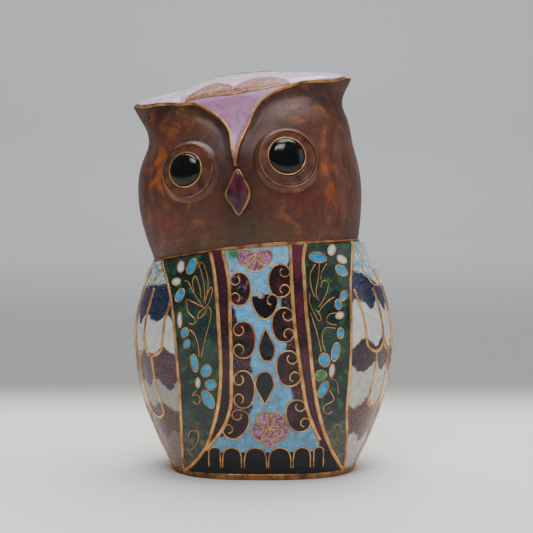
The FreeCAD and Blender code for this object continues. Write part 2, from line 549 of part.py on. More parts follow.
def build_body(nodes):
    skin, proud = body_solid(0.0), body_solid(-PROUD)
    copper, hollow = body_solid(ENAMEL), body_solid(ENAMEL + COPPER)
    above = half_space(NECK, head_placement().Rotation.multVec(V(0, 0, 1)))
    glass, wires = (s.cut(copper).cut(above) for s in (skin, proud))
    shell = copper.cut(hollow).cut(above)
    front, rear = block(-40, -40, -1, 40, 0, 60), block(-40, 0, -1, 40, 40, 60)
    nodes["body_shell_front"] = shell.common(front).Solids
    nodes["body_shell_back"] = shell.common(rear).Solids
    nodes["foot_rim"] = glass.common(block(-40, -40, -1, 40, 40, RIM_HEIGHT)).Solids
    vent = Part.makeCylinder(VENT_RADIUS, 9, V(0, VENT_Y, -4))
    nodes["base_plate"] = hollow.common(block(-40, -40, -1, 40, 40, PLATE)).cut(vent).Solids

    lifted = block(-40, -40, RIM_HEIGHT, 40, 40, 60)
    glass, wires = glass.common(lifted), wires.common(lifted)
    box = (-26.0, RIM_HEIGHT - 0.1, 26.0, 50.0)
    motifs = (breast() + flank("left", FLANK_L_PETALS, FLANK_L_STEMS, WING_EDGE_L)
              + flank("right", FLANK_R_PETALS, FLANK_R_STEMS, WING_EDGE_R))
    Region("front", box, glass.common(front), wires.common(front), motifs, front_ground).build(nodes)
    edges = [Motif("wing_edge_wires", [(s * x, z) for x, z in BACK_EDGE], FEATHER_WIRE) for s in (1, -1)]
    Region("behind", box, glass.common(rear), wires.common(rear), edges + back_panel(),
           back_ground).build(nodes)
    for side, sign in (("right", -1), ("left", 1)):
        wing, wing_wires = wing_of(glass, sign), wing_of(wires, sign)
        seam = block(-40, WING_SEAM + FEATHER_WIRE / 2, -1, 40, 40, 60)
        Region(side, (-22.0, RIM_HEIGHT - 0.1, WING_SEAM + FEATHER_WIRE / 2, 50.0), wing.cut(seam),
               wing_wires.cut(seam), wing_side(side), wing_ground(side)).build(nodes)
        Region("behind", box, wing.common(seam), wing_wires.common(seam), wing_rear(side),
               wing_ground(side)).build(nodes)


def eye(side, copper):
    """A copper boss that carries an outer wire, the iris enamel, an inner wire and a domed pupil."""
    x, z, disc, pupil = EYES[side]
    lo = next(r for r in reversed(HEAD_RINGS) if r[0] <= z)
    hi = next(r for r in HEAD_RINGS if r[0] > z)
    t = (z - lo[0]) / (hi[0] - lo[0])
    _, a, depth, _, p, q = (u + (v - u) * t for u, v in zip(lo, hi))
    drop = 1 - (abs(x) / a) ** p
    y = -depth * drop ** (1 / q)
    slope = depth / q * drop ** (1 / q - 1) * p / a * (abs(x) / a) ** (p - 1) * math.copysign(1, x)
    out = V(slope, -1.0, -(hi[2] - lo[2]) / (hi[0] - lo[0]) * drop ** (1 / q))
    out.normalize()
    centre = V(x, y, z)

    def rod(radius, start, end, shift=0.0):
        at = centre + out * start + V(shift, 0, 0)
        return Part.makeCylinder(radius, end - start, at, out)
    reach = rod(disc, -4.0, 6.0)
    boss = rod(disc, -3.0, BOSS_TOP).cut(copper)
    outer = rod(disc, BOSS_TOP, IRIS_TOP + 0.15).cut(rod(disc - EYE_WIRE, BOSS_TOP - 1, 6.0))
    iris = rod(disc - EYE_WIRE, BOSS_TOP, IRIS_TOP).cut(rod(pupil + EYE_WIRE, BOSS_TOP - 1, 6.0, PUPIL_SHIFT))
    inner = rod(pupil + EYE_WIRE, BOSS_TOP, IRIS_TOP + 0.2, PUPIL_SHIFT).cut(
        rod(pupil, BOSS_TOP - 1, 6.0, PUPIL_SHIFT))
    bead = (pupil ** 2 + DOME ** 2) / (2 * DOME)
    ball = Part.makeSphere(bead, centre + out * (IRIS_TOP + DOME - bead) + V(PUPIL_SHIFT, 0, 0))
    dome = rod(pupil, BOSS_TOP, IRIS_TOP + DOME + 0.1, PUPIL_SHIFT).common(ball)
    pieces = {f"eye_boss_{side}": boss, f"eye_ring_outer_{side}": outer, f"eye_iris_enamel_{side}": iris,
              f"eye_ring_inner_{side}": inner, f"eye_pupil_{side}": dome}
    return reach, {name: shape.Solids for name, shape in pieces.items()}


def build_head(nodes):
    skin, proud = head_solid(0.0), head_solid(-PROUD)
    copper, hollow = head_solid(ENAMEL), head_solid(ENAMEL + COPPER)
    shell = copper.cut(hollow)
    base = block(-40, -40, 0.0, 40, 40, BAND_HEIGHT)
    front, rear = block(-40, -40, -1, 40, 0, 60), block(-40, 0, -1, 40, 40, 60)
    made = {"head_shell_front": shell.common(front).Solids, "head_shell_back": shell.common(rear).Solids,
            "neck_band": skin.cut(copper).common(base).Solids}
    glass, wires = (s.cut(copper).cut(base) for s in (skin, proud))
    raised_glass, raised_wires = (head_solid(-r).cut(copper).common(front)
                                  for r in (BEAK_RISE, BEAK_RISE + PROUD))
    for side in EYES:
        disc, pieces = eye(side, copper)
        made.update(pieces)
        glass, wires = glass.cut(disc), wires.cut(disc)
    box = (-26.0, 0.0, 26.0, 40.0)
    brows = [Motif("brow_wires", p, BROW_WIRE) for p in (BROW, mirrored(BROW))]
    beak = [Motif("beak_wire", BEAK, closed=True, fill="beak_enamel", seed=(0.0, 11.0))]
    Region("front", box, glass.common(front), wires.common(front), brows + beak,
           lambda x, z: "crown" if z > 26 or abs(x) < 2.5 and z > 18 else "face_enamel",
           {"beak_wire": raised_wires, "beak_enamel": raised_glass}).build(made)
    napes = [Motif("nape_wires", p, BROW_WIRE) for p in (NAPE, mirrored(NAPE))]
    napes += [Motif("nape_wires", [(s * x, z) for x, z in scale_arch(u, v, 6.4)])
              for v, us in ((15.2, (1.0, 7.8)), (7.6, (-3.2, 4.4, 11.2))) for u in us for s in (1, -1)
              if s > 0 or u > 0]
    Region("behind", box, glass.common(rear), wires.common(rear), napes,
           lambda x, z: "crown" if z > 27 else "nape_enamel").build(made)
    crown = one_solid(Part.makeCompound(made.pop("crown")))
    crown_wires = wires.common(half_space(V(0, 0, 27.5), V(0, 0, 1)))
    leaves = [Motif("crown_wires", LEAF_FRONT), Motif("crown_wires", LEAF_BACK), Motif("crown_wires", CREST)]
    leaves[0].fill, leaves[0].seed = "leaf_enamel", (-3.6, -7.8)
    leaves[1].fill, leaves[1].seed = "leaf_enamel", (3.6, -7.4)
    Region("top", (-26.0, -22.0, 26.0, 22.0), crown, crown_wires, leaves,
           lambda x, y: "crown_enamel").build(made)
    place = head_placement()
    for name, solids in made.items():
        for s in solids:
            s.Placement = place.multiply(s.Placement)
        nodes.setdefault(name, []).extend(solids)


def build():
    nodes = {}
    build_head(nodes)
    build_body(nodes)
    os.makedirs("parts", exist_ok=True)
    for name, solids in sorted(nodes.items()):
        shape = Part.makeCompound(solids) if len(solids) > 1 else solids[0]
        shape.exportStep(f"parts/{name}.step")


build()
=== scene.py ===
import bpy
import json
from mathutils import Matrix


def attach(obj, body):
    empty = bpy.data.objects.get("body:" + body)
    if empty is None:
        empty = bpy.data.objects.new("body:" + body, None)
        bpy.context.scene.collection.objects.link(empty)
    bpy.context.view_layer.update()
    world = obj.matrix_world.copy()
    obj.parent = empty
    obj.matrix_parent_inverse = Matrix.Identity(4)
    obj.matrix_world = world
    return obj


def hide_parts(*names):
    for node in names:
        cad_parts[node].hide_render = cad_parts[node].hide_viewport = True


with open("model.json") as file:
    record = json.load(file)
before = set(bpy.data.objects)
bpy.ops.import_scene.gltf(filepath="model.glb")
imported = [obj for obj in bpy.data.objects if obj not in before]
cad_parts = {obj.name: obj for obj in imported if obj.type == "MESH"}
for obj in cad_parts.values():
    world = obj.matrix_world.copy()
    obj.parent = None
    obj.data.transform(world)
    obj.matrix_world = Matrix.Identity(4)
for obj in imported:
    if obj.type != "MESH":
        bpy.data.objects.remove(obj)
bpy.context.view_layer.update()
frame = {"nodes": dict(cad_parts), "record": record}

import json
import math
import bpy
import numpy as np
from mathutils import Matrix, Vector, kdtree, noise

# The figurine's looks. Lengths are millimetres until a mesh is made. +Z is up and the owl faces -Y.
MM = 0.001


def unit(v):
    """Vectors scaled to length one."""
    return v / np.maximum(np.linalg.norm(v, axis=-1), 1e-9)[..., None]


def grid_faces(rows, columns, wrap_rows, wrap_columns):
    """Four-sided faces between the points of a grid, row by row."""
    return [(i * columns + q, i * columns + (q + 1) % columns,
             (i + 1) % rows * columns + (q + 1) % columns, (i + 1) % rows * columns + q)
            for i in range(rows if wrap_rows else rows - 1)
            for q in range(columns if wrap_columns else columns - 1)]


# ------------------------------------------------------------------ the two shapes
# Body rings: z, centre x, half width, half depth in front, half depth behind.
BODY = np.array([
    (0.0, 0.0, 17.0, 14.0, 14.0), (5.0, 0.0, 19.5, 15.8, 15.8), (12.0, 0.0, 22.3, 17.65, 17.95),
    (20.0, 0.0, 24.1, 18.8, 19.2), (28.0, 0.0, 24.25, 18.8, 19.35), (35.0, -0.07, 22.55, 17.95, 18.4),
    (41.0, -0.5, 20.3, 16.85, 17.0), (48.0, -1.2, 19.2, 16.4, 16.4)])
BODY_P, BODY_Q = 2.8, 2.2
# Head rings: z above the neck, half width, half depth in front, half depth behind, and two roundnesses.
HEAD = np.array([
    (0.0, 19.3, 16.6, 16.6, 2.4, 2.2), (5.0, 20.6, 17.9, 17.6, 2.4, 2.2), (10.0, 21.2, 18.4, 18.0, 2.4, 2.2),
    (15.0, 20.9, 18.1, 17.8, 2.4, 2.2), (19.0, 20.0, 16.9, 17.2, 2.4, 2.1),
    (22.0, 19.2, 15.5, 16.4, 2.4, 2.0), (25.0, 19.0, 13.9, 15.2, 2.4, 1.8),
    (27.5, 19.8, 12.5, 14.0, 2.4, 1.6), (29.2, 20.4, 11.3, 12.8, 2.3, 1.5)])
CROWN = np.array([
    (29.2, 20.4, 11.3, 12.8, 2.3, 1.5), (30.4, 18.6, 9.6, 11.4, 2.2, 1.6), (31.6, 14.6, 7.3, 8.9, 2.1, 1.8),
    (32.6, 9.6, 4.7, 6.1, 2.0, 2.0), (33.2, 4.2, 2.0, 2.8, 2.0, 2.0)])
NECK = np.array([-1.35, 0.0, 41.6])
ROLL, NOD, TURN = (math.radians(v) for v in (-6.3, -3.0, -6.0))
HEAD_TURN = np.array(Matrix.Rotation(ROLL, 3, "Y") @ Matrix.Rotation(NOD, 3, "X")
                     @ Matrix.Rotation(TURN, 3, "Z"))


def spline(table, z):
    """Smooth values between the rows of a table, by Hermite cubics."""
    z = np.atleast_1d(np.asarray(z, float))
    k = np.clip(np.searchsorted(table[:, 0], z, side="right") - 1, 0, len(table) - 2)
    h = table[k + 1, 0] - table[k, 0]
    t = np.clip((z - table[k, 0]) / h, -0.2, 1.2)[:, None]
    slopes = np.gradient(table[:, 1:], table[:, 0], axis=0)
    p0, p1, m0, m1 = table[k, 1:], table[k + 1, 1:], slopes[k] * h[:, None], slopes[k + 1] * h[:, None]
    return ((2 * t ** 3 - 3 * t ** 2 + 1) * p0 + (t ** 3 - 2 * t ** 2 + t) * m0
            + (-2 * t ** 3 + 3 * t ** 2) * p1 + (t ** 3 - t ** 2) * m1)


def rounded(c, power):
    """A cosine or a sine, bent so that a ring of them is a rounded box."""
    return np.sign(c) * np.abs(c) ** (2 / power)


def body_at(c, s, z):
    """Points on the body at heights z, from the cosine and sine of the way round."""
    v = spline(BODY, z)
    depth = np.where(s > 0, v[:, 3], v[:, 2])
    return np.stack([v[:, 0] + v[:, 1] * rounded(c, BODY_P), depth * rounded(s, BODY_Q),
                     np.broadcast_to(z, c.shape)], 1)


def body_front(x, z, sign=-1.0):
    """The body's surface over (x, z), seen from the front, or from behind with sign 1."""
    v = spline(BODY, z)
    r = np.clip(1 - np.abs((x - v[:, 0]) / v[:, 1]) ** BODY_P, 0, 1) ** (1 / BODY_Q)
    return np.stack([x, np.where(sign < 0, -v[:, 2], v[:, 3]) * r, z], 1)


def body_side(y, z, sign):
    """The body's surface over (y, z), on the side that sign points to."""
    v = spline(BODY, z)
    depth = np.where(y > 0, v[:, 3], v[:, 2])
    r = np.clip(1 - np.abs(y / depth) ** BODY_Q, 0, 1) ** (1 / BODY_P)
    return np.stack([v[:, 0] + sign * v[:, 1] * r, y, z], 1)


def head_front(x, z, sign=-1.0):
    """The head's plain surface over (x, z), in its own frame."""
    v = spline(HEAD, np.clip(z, 0, 29.2))
    p, q = v[:, 3], v[:, 4]
    r = np.clip(1 - np.abs(x / v[:, 0]) ** p, 0, 1) ** (1 / q)
    return np.stack([x, np.where(sign < 0, -v[:, 1], v[:, 2]) * r, z], 1)


def crown_top(x, y):
    """Height of the crown over a point, by bisection between its rings."""
    lo, hi = np.full(x.shape, 29.2), np.full(x.shape, 33.2)
    for _ in range(24):
        mid = (lo + hi) / 2
        v = spline(CROWN, mid)
        depth = np.where(y > 0, v[:, 2], v[:, 1])
        inside = np.abs(x / v[:, 0]) ** v[:, 3] + np.abs(y / depth) ** v[:, 4] < 1
        lo, hi = np.where(inside, mid, lo), np.where(inside, hi, mid)
    return np.stack([x, y, lo], 1)


# ------------------------------------------------------------------ flat curves
def smooth(points, closed=False, step=0.22):
    """Close-set points along a Catmull-Rom curve."""
    p = np.array(points, float)
    n, out = len(p), []
    for i in range(n if closed else n - 1):
        p1, p2 = p[i], p[(i + 1) % n]
        p0 = p[i - 1] if closed or i else 2 * p1 - p2
        p3 = p[(i + 2) % n] if closed or i + 2 < n else 2 * p2 - p1
        k = max(2, int(np.linalg.norm(p2 - p1) / step) + 1)
        t = np.arange(k)[:, None] / k
        out.append(0.5 * (2 * p1 + (p2 - p0) * t + (2 * p0 - 5 * p1 + 4 * p2 - p3) * t ** 2
                          + (3 * p1 - p0 - 3 * p2 + p3) * t ** 3))
    return np.concatenate(out + ([] if closed else [p[-1:]]))


def moved(points, cx, cz, sx=1.0, sz=1.0, turn=0.0):
    """An outline scaled, turned (in degrees) and set down at a centre."""
    c, s = math.cos(math.radians(turn)), math.sin(math.radians(turn))
    return [(cx + c * x * sx - s * z * sz, cz + s * x * sx + c * z * sz) for x, z in points]


def mirrored(points):
    return [(-x, z) for x, z in points]


def line_at(curve, z):
    """x of a line down the body at heights z."""
    c = smooth(curve)[::-1] if curve[0][1] > curve[-1][1] else smooth(curve)
    return np.interp(z, c[:, 1], c[:, 0])


def within(poly, u, v):
    """Which points lie inside a closed outline."""
    poly = np.asarray(poly)
    inside = np.zeros(u.shape, bool)
    near = (u > poly[:, 0].min()) & (u < poly[:, 0].max()) & (v > poly[:, 1].min()) & (v < poly[:, 1].max())
    k = np.nonzero(near)[0]
    uu, vv, hit = u[k], v[k], np.zeros(len(k), bool)
    for (x0, y0), (x1, y1) in zip(poly, np.roll(poly, -1, 0)):
        if y0 != y1:
            hit ^= ((y0 > vv) != (y1 > vv)) & (uu < (x1 - x0) * (vv - y0) / (y1 - y0) + x0)
    inside[k] = hit
    return inside


def step_up(a, b, v):
    t = np.clip((v - a) / (b - a), 0, 1)
    return t * t * (3 - 2 * t)


def grain(points, scale, seed=0.0):
    """Perlin noise of points in millimetres, one value each, about -1 to 1."""
    return np.array([noise.noise(Vector((x * scale + seed, y * scale - seed, z * scale)))
                     for x, y, z in points])


# ------------------------------------------------------------------ motifs
HALF_SCROLL = [(1.0, 0.0), (0.88, 0.5), (0.5, 0.88), (-0.05, 1.0), (-0.58, 0.92), (-0.93, 0.66),
               (-0.88, 0.38), (-0.5, 0.24), (-0.14, 0.36), (-0.06, 0.6), (-0.26, 0.74)]
SCROLL = [(x, -z) for x, z in reversed(HALF_SCROLL[1:])] + HALF_SCROLL
DROP = [(0.0, 1.0), (-0.42, 0.1), (-0.5, -0.35), (-0.32, -0.85), (0.0, -1.0), (0.32, -0.85), (0.5, -0.35),
        (0.42, 0.1), (0.0, 1.0)]
PETAL = [(0.0, 0.0), (0.3, 0.38), (0.75, 0.5), (1.0, 0.22), (1.0, -0.22), (0.75, -0.5), (0.3, -0.38)]
WING_EDGE_R = [(-19.6, 51.0), (-19.0, 42.5), (-18.5, 39.2), (-17.5, 36.2), (-16.7, 33.0), (-16.0, 28.0),
               (-15.6, 23.0), (-15.1, 16.0), (-14.9, 10.0), (-14.8, 0.5)]
WING_EDGE_L = [(16.4, 46.0), (16.2, 40.0), (15.8, 36.0), (15.8, 30.0), (15.8, 25.0), (15.5, 19.0),
               (15.1, 13.0), (15.2, 8.0), (15.0, 0.5)]
STRAP_R_OUT = [(-10.2, 44.0), (-9.0, 39.3), (-8.4, 34.6), (-7.9, 28.0), (-7.6, 22.5), (-7.7, 17.5),
               (-8.2, 13.4), (-9.2, 9.5), (-10.6, 5.8), (-13.0, 2.5), (-14.6, 0.9)]
STRAP_R_IN = [(-7.9, 44.0), (-6.5, 38.5), (-6.0, 34.0), (-5.9, 29.0), (-5.7, 23.0), (-5.7, 17.0),
              (-5.95, 13.6), (-6.9, 10.6), (-8.5, 8.1), (-10.4, 5.7)]
STRAP_L_IN = [(4.7, 46.0), (5.0, 37.5), (5.35, 31.4), (5.9, 25.8), (6.75, 20.0), (7.7, 14.2), (8.9, 10.5),
              (10.15, 7.6)]
STRAP_L_OUT = [(8.4, 46.0), (7.2, 41.2), (7.3, 37.0), (7.6, 31.4), (8.2, 25.8), (8.8, 20.0), (9.4, 15.5),
               (10.5, 10.7), (12.0, 6.4), (13.5, 3.3), (14.8, 0.9)]
SCROLLS_R = [(-4.1, 35.05, 1.85, 2.95, 0), (-3.4, 26.05, 1.98, 3.25, 0), (-3.45, 17.15, 1.9, 3.4, 0),
             (-4.75, 10.6, 1.9, 2.9, -32)]
SCROLLS_L = [(2.87, 36.5, 1.95, 2.9, 0), (3.5, 28.7, 1.95, 3.05, 3), (4.4, 20.9, 2.05, 3.2, 8),
             (6.15, 12.2, 2.0, 3.0, 17)]
HEART = [(-1.05, 33.7), (-0.25, 33.45), (0.1, 34.0), (-0.55, 34.5), (-1.6, 34.4), (-2.15, 33.5),
         (-1.75, 31.8), (-0.85, 30.4), (0.28, 29.7), (1.45, 30.4), (2.35, 31.8), (2.6, 33.05),
         (2.1, 33.95), (1.3, 34.05), (0.78, 33.4), (0.85, 32.5), (1.4, 32.3)]
ARCHES = [(-9.9, -7.75), (-7.4, -3.95), (-3.45, 0.6), (0.95, 5.0), (5.4, 8.55), (9.1, 10.9)]
SHOULDER = 34.8
WING_SEAM = 12.5
# First y, width and both rows' ends of each wing's feathers.
FEATHERS = {"right": (-14.6, 4.3, 22.6, 11.0), "left": (-14.2, 4.2, 23.4, 12.8)}
BACK_EDGE = [(10.6, 46.0), (9.9, 36.0), (8.9, 28.0), (7.7, 20.0), (6.8, 12.0), (6.6, 0.5)]
TURQ, PALE, LEAFY = "petal_enamel_turquoise", "petal_enamel_white", "petal_enamel_green"
FLANK_L_PETALS = [
    (9.8, 40.6, 1.6, 0.9, -12, TURQ), (12.3, 41.9, 1.0, 0.7, 70, PALE), (14.2, 40.2, 1.0, 0.65, -30, PALE),
    (14.1, 38.2, 1.25, 0.8, -35, TURQ), (14.4, 33.7, 0.95, 0.6, 60, TURQ), (13.4, 32.2, 0.9, 0.6, 100, TURQ),
    (13.7, 30.3, 0.8, 0.6, 20, PALE), (13.8, 27.1, 0.95, 0.6, 90, TURQ), (10.9, 22.4, 1.25, 0.95, 100, TURQ),
    (12.9, 23.8, 1.7, 0.7, 78, TURQ), (10.25, 19.6, 1.1, 0.9, 20, LEAFY), (10.7, 17.1, 1.6, 0.8, 65, TURQ),
    (12.3, 20.4, 1.2, 0.5, 85, PALE)]
FLANK_L_STEMS = [
    [(9.3, 39.4), (8.5, 38.0), (8.4, 36.3), (8.8, 34.6), (9.4, 33.4)],
    [(10.1, 39.5), (9.8, 36.9), (9.4, 34.6), (9.9, 32.9)],
    [(11.4, 39.6), (10.5, 38.0), (10.2, 36.6)],
    [(10.3, 35.3), (10.6, 36.4), (11.6, 36.2), (11.4, 34.6), (10.6, 32.9), (9.8, 31.8)],
    [(12.7, 33.5), (11.9, 33.1), (10.6, 32.0), (9.9, 30.9)],
    [(8.3, 34.2), (8.2, 32.9), (9.1, 30.6), (9.9, 29.4), (10.3, 29.9), (9.6, 31.2)],
    [(8.4, 30.9), (9.2, 28.4), (9.9, 25.9), (10.3, 23.8)],
    [(12.9, 30.8), (11.7, 30.4), (11.3, 29.4), (12.0, 28.8), (13.1, 28.6)],
    [(12.9, 28.0), (11.2, 28.1), (10.5, 27.1), (10.6, 25.3), (11.1, 23.9)],
    [(12.0, 19.0), (13.1, 18.4), (13.5, 16.2)],
    [(11.9, 16.9), (12.6, 15.1), (11.0, 14.0), (10.9, 12.9), (11.7, 12.5), (12.4, 13.0)],
    [(12.6, 9.6), (13.4, 10.5), (13.9, 9.5), (13.3, 8.4), (13.5, 7.0)]]
FLANK_R_PETALS = [
    (-12.9, 39.0, 1.5, 0.75, 65, TURQ), (-14.9, 38.9, 1.1, 0.65, 80, PALE),
    (-15.7, 36.2, 0.8, 0.65, 20, PALE), (-15.0, 33.8, 1.3, 0.7, 62, TURQ),
    (-15.0, 29.4, 1.4, 0.45, 90, PALE), (-14.1, 27.2, 0.9, 0.65, 70, TURQ),
    (-13.7, 25.2, 0.85, 0.6, 70, TURQ), (-12.3, 21.8, 1.6, 0.65, 100, TURQ),
    (-10.2, 20.5, 1.15, 0.9, 80, TURQ), (-9.35, 17.9, 1.0, 0.95, 10, TURQ),
    (-9.9, 15.3, 1.8, 0.9, -62, TURQ), (-11.7, 18.2, 1.0, 0.4, 90, PALE)]
FLANK_R_STEMS = [
    [(-12.2, 40.2), (-11.6, 39.3), (-10.9, 37.2), (-10.5, 35.0), (-10.5, 33.0)],
    [(-11.7, 39.6), (-10.9, 39.6), (-10.0, 37.4), (-9.9, 35.2), (-10.4, 32.3)],
    [(-12.4, 34.4), (-12.7, 36.4), (-12.1, 37.2), (-11.4, 35.4), (-11.1, 33.4)],
    [(-14.2, 36.4), (-13.4, 36.1), (-12.4, 34.2), (-10.8, 31.9)],
    [(-10.5, 31.7), (-12.5, 32.6), (-13.7, 33.1), (-13.7, 32.0), (-13.3, 30.7), (-12.1, 29.5), (-12.6, 28.7),
     (-13.4, 29.0)],
    [(-10.7, 32.6), (-9.8, 34.6), (-9.3, 35.3), (-9.1, 34.6), (-9.7, 32.7), (-10.3, 31.7)],
    [(-10.4, 31.7), (-11.4, 30.9), (-11.7, 29.8), (-10.7, 30.4), (-10.0, 31.6)],
    [(-9.9, 31.9), (-9.3, 31.1), (-9.6, 29.1), (-10.3, 26.4), (-11.1, 23.0)],
    [(-13.2, 27.8), (-12.3, 27.0), (-11.6, 25.0), (-11.5, 23.0)],
    [(-11.9, 16.9), (-12.7, 15.9), (-11.8, 16.0), (-11.3, 15.2), (-11.8, 14.3), (-12.7, 14.7)],
    [(-13.7, 7.9), (-13.2, 9.1), (-12.0, 9.2), (-11.7, 8.3), (-12.1, 6.7), (-13.2, 5.4)]]
BROW = [(0.0, 14.6), (0.5, 16.5), (1.0, 18.8), (1.85, 21.4), (3.4, 24.2), (5.5, 26.4), (8.1, 27.9),
        (11.4, 28.8), (14.5, 28.9), (17.2, 28.7), (19.4, 29.2), (22.0, 30.4)]
NAPE = [(0.0, 22.6), (5.0, 23.0), (10.0, 24.4), (15.0, 26.6), (18.6, 28.6), (22.0, 30.4)]
BEAK = [(0.3, 13.9), (-1.2, 11.9), (-2.2, 9.8), (-1.4, 7.8), (-0.3, 6.15), (1.3, 7.9), (2.1, 9.85),
        (1.45, 12.0)]
LEAF_FRONT = [(-8.8, 28.9), (-5.0, 28.5), (-0.8, 28.2), (3.0, 28.3), (6.5, 28.6), (10.2, 29.1)]
LEAF_BACK = [(-8.8, -9.9), (-6.0, -9.0), (-3.2, -8.6), (-0.9, -9.9), (0.5, -10.9), (2.0, -9.9), (4.8, -8.4),
             (8.0, -8.4), (10.2, -9.4)]
CREST = [(-9.4, -6.0), (-6.0, -3.2), (-1.0, -2.0), (4.0, -2.0), (8.6, -5.0)]
# Each eye, by the owl's side: x, z, disc radius, pupil radius.
EYES = {"right": (-8.5, 14.75, 5.0, 3.0), "left": (9.25, 14.75, 5.3, 3.25)}


def oval(cx, cz, long, wide, turn):
    return moved([(math.cos(k * math.pi / 6), math.sin(k * math.pi / 6)) for k in range(12)],
                 cx, cz, long, wide, turn)


def arch(x0, x1, top, bottom):
    m, h = (x0 + x1) / 2, min((x1 - x0) / 2, top - bottom)
    return [(x0, bottom), (x0 + 0.04 * h, top - h), (x0 + 0.3 * h, top - 0.28 * h), (m, top),
            (x1 - 0.3 * h, top - 0.28 * h), (x1 - 0.04 * h, top - h), (x1, bottom)]


def tongue(u0, u1, top0, top1, bottom):
    """A long U, open at the top: one feather."""
    m, h = (u0 + u1) / 2, (u1 - u0) / 2
    return [(u0 + 0.08, top0), (u0 + 0.08, (top0 + bottom + h) / 2), (u0 + 0.06 * h, bottom + h),
            (u0 + 0.34 * h, bottom + 0.3 * h), (m, bottom), (u1 - 0.34 * h, bottom + 0.3 * h),
            (u1 - 0.06 * h, bottom + h), (u1 - 0.08, (top1 + bottom + h) / 2), (u1 - 0.08, top1)]


def scale_arch(u, v, wide):
    """A shallow U, the edge of one small scale."""
    return [(u, v + 3.0), (u + 0.1 * wide, v + 1.0), (u + wide / 2, v), (u + 0.9 * wide, v + 1.0),
            (u + wide, v + 3.0)]


def feather_rows(first, wide, end1, end2, count, last):
    """Two rows of long U feathers, the second hung between the first, and shafts below them."""
    paths = [tongue(first + k * wide, first + (k + 1) * wide, SHOULDER, SHOULDER, end1) for k in range(count)]
    hung = first + wide / 2
    paths += [tongue(hung + k * wide, hung + (k + 1) * wide, end1, end1, end2) for k in range(count - 1)]
    paths += [[(first + (k + 1) * wide, end2), (first + (k + 1) * wide - 0.4, 6.0),
               (first + (k + 1) * wide - 0.5, 0.9)] for k in range(1, count - 1)]
    return [p for p in paths if max(x for x, z in p) < last]


# Widths of the flattened wires.
STRAP_WIRE, BROW_WIRE, EDGE_WIRE, FEATHER_WIRE = 0.66, 0.6, 0.55, 0.5
CURL_WIRE, FINE_WIRE, PETAL_WIRE, STEM_WIRE = 0.3, 0.25, 0.2, 0.15
# Every wire: piece, view, path, width, closed. Every enamel cell: piece, view, outline.
WIRES, CELLS = [], []


def wire(piece, view, path, width=FINE_WIRE, closed=False, fill=None, outline=None):
    """Lays one wire, and fills its loop (or the given outline) with an enamel."""
    WIRES.append((piece, view, path, width, closed))
    if fill:
        CELLS.append((fill, view, smooth(outline or path, closed or not outline, 0.3)))


for strap in (STRAP_R_OUT, STRAP_R_IN, STRAP_L_IN, STRAP_L_OUT):
    wire("breast_strap_wires", "front", strap, STRAP_WIRE)
for k, (cx, cz, sx, sz, turn) in enumerate(SCROLLS_R + SCROLLS_L):
    shape = SCROLL if k < 4 else mirrored(SCROLL)
    sign = -1 if k < 4 else 1
    ends = [(sign * 1.35, 0.5), (sign * 1.35, -0.5)]
    wire("breast_scroll_wires", "front", moved(shape, cx, cz, sx, sz, turn), fill="scroll_enamel",
         outline=moved(shape[5:-5] + ends, cx, cz, sx, sz, turn))
wire("heart_and_drop_wires", "front", HEART, CURL_WIRE, fill="heart_and_drop_enamel",
     outline=[(0.55, 34.2), (-0.05, 33.7), (-0.6, 33.5), (-1.3, 33.8), *HEART[5:13], (1.3, 34.1)])
for cx, cz, sx, turn in ((0.55, 25.2, 2.8, 4), (0.25, 17.4, 3.3, 180)):
    wire("heart_and_drop_wires", "front", moved(DROP, cx, cz, sx, 3.0, turn), fill="heart_and_drop_enamel")
for cx, cz, size, angles in ((-1.5, 41.2, 3.0, (-165, -90, -15)), (1.2, 9.9, 3.2, (125, 50, -14, -90, -160))):
    for a in angles:
        wire("rosette_wires", "front", moved(PETAL, cx, cz, size, size * 0.95, a), closed=True,
             fill="rosette_enamel")
for a, b in ARCHES:
    wire("toe_wires", "front", arch(a, b, 6.3, 2.4), 0.26)
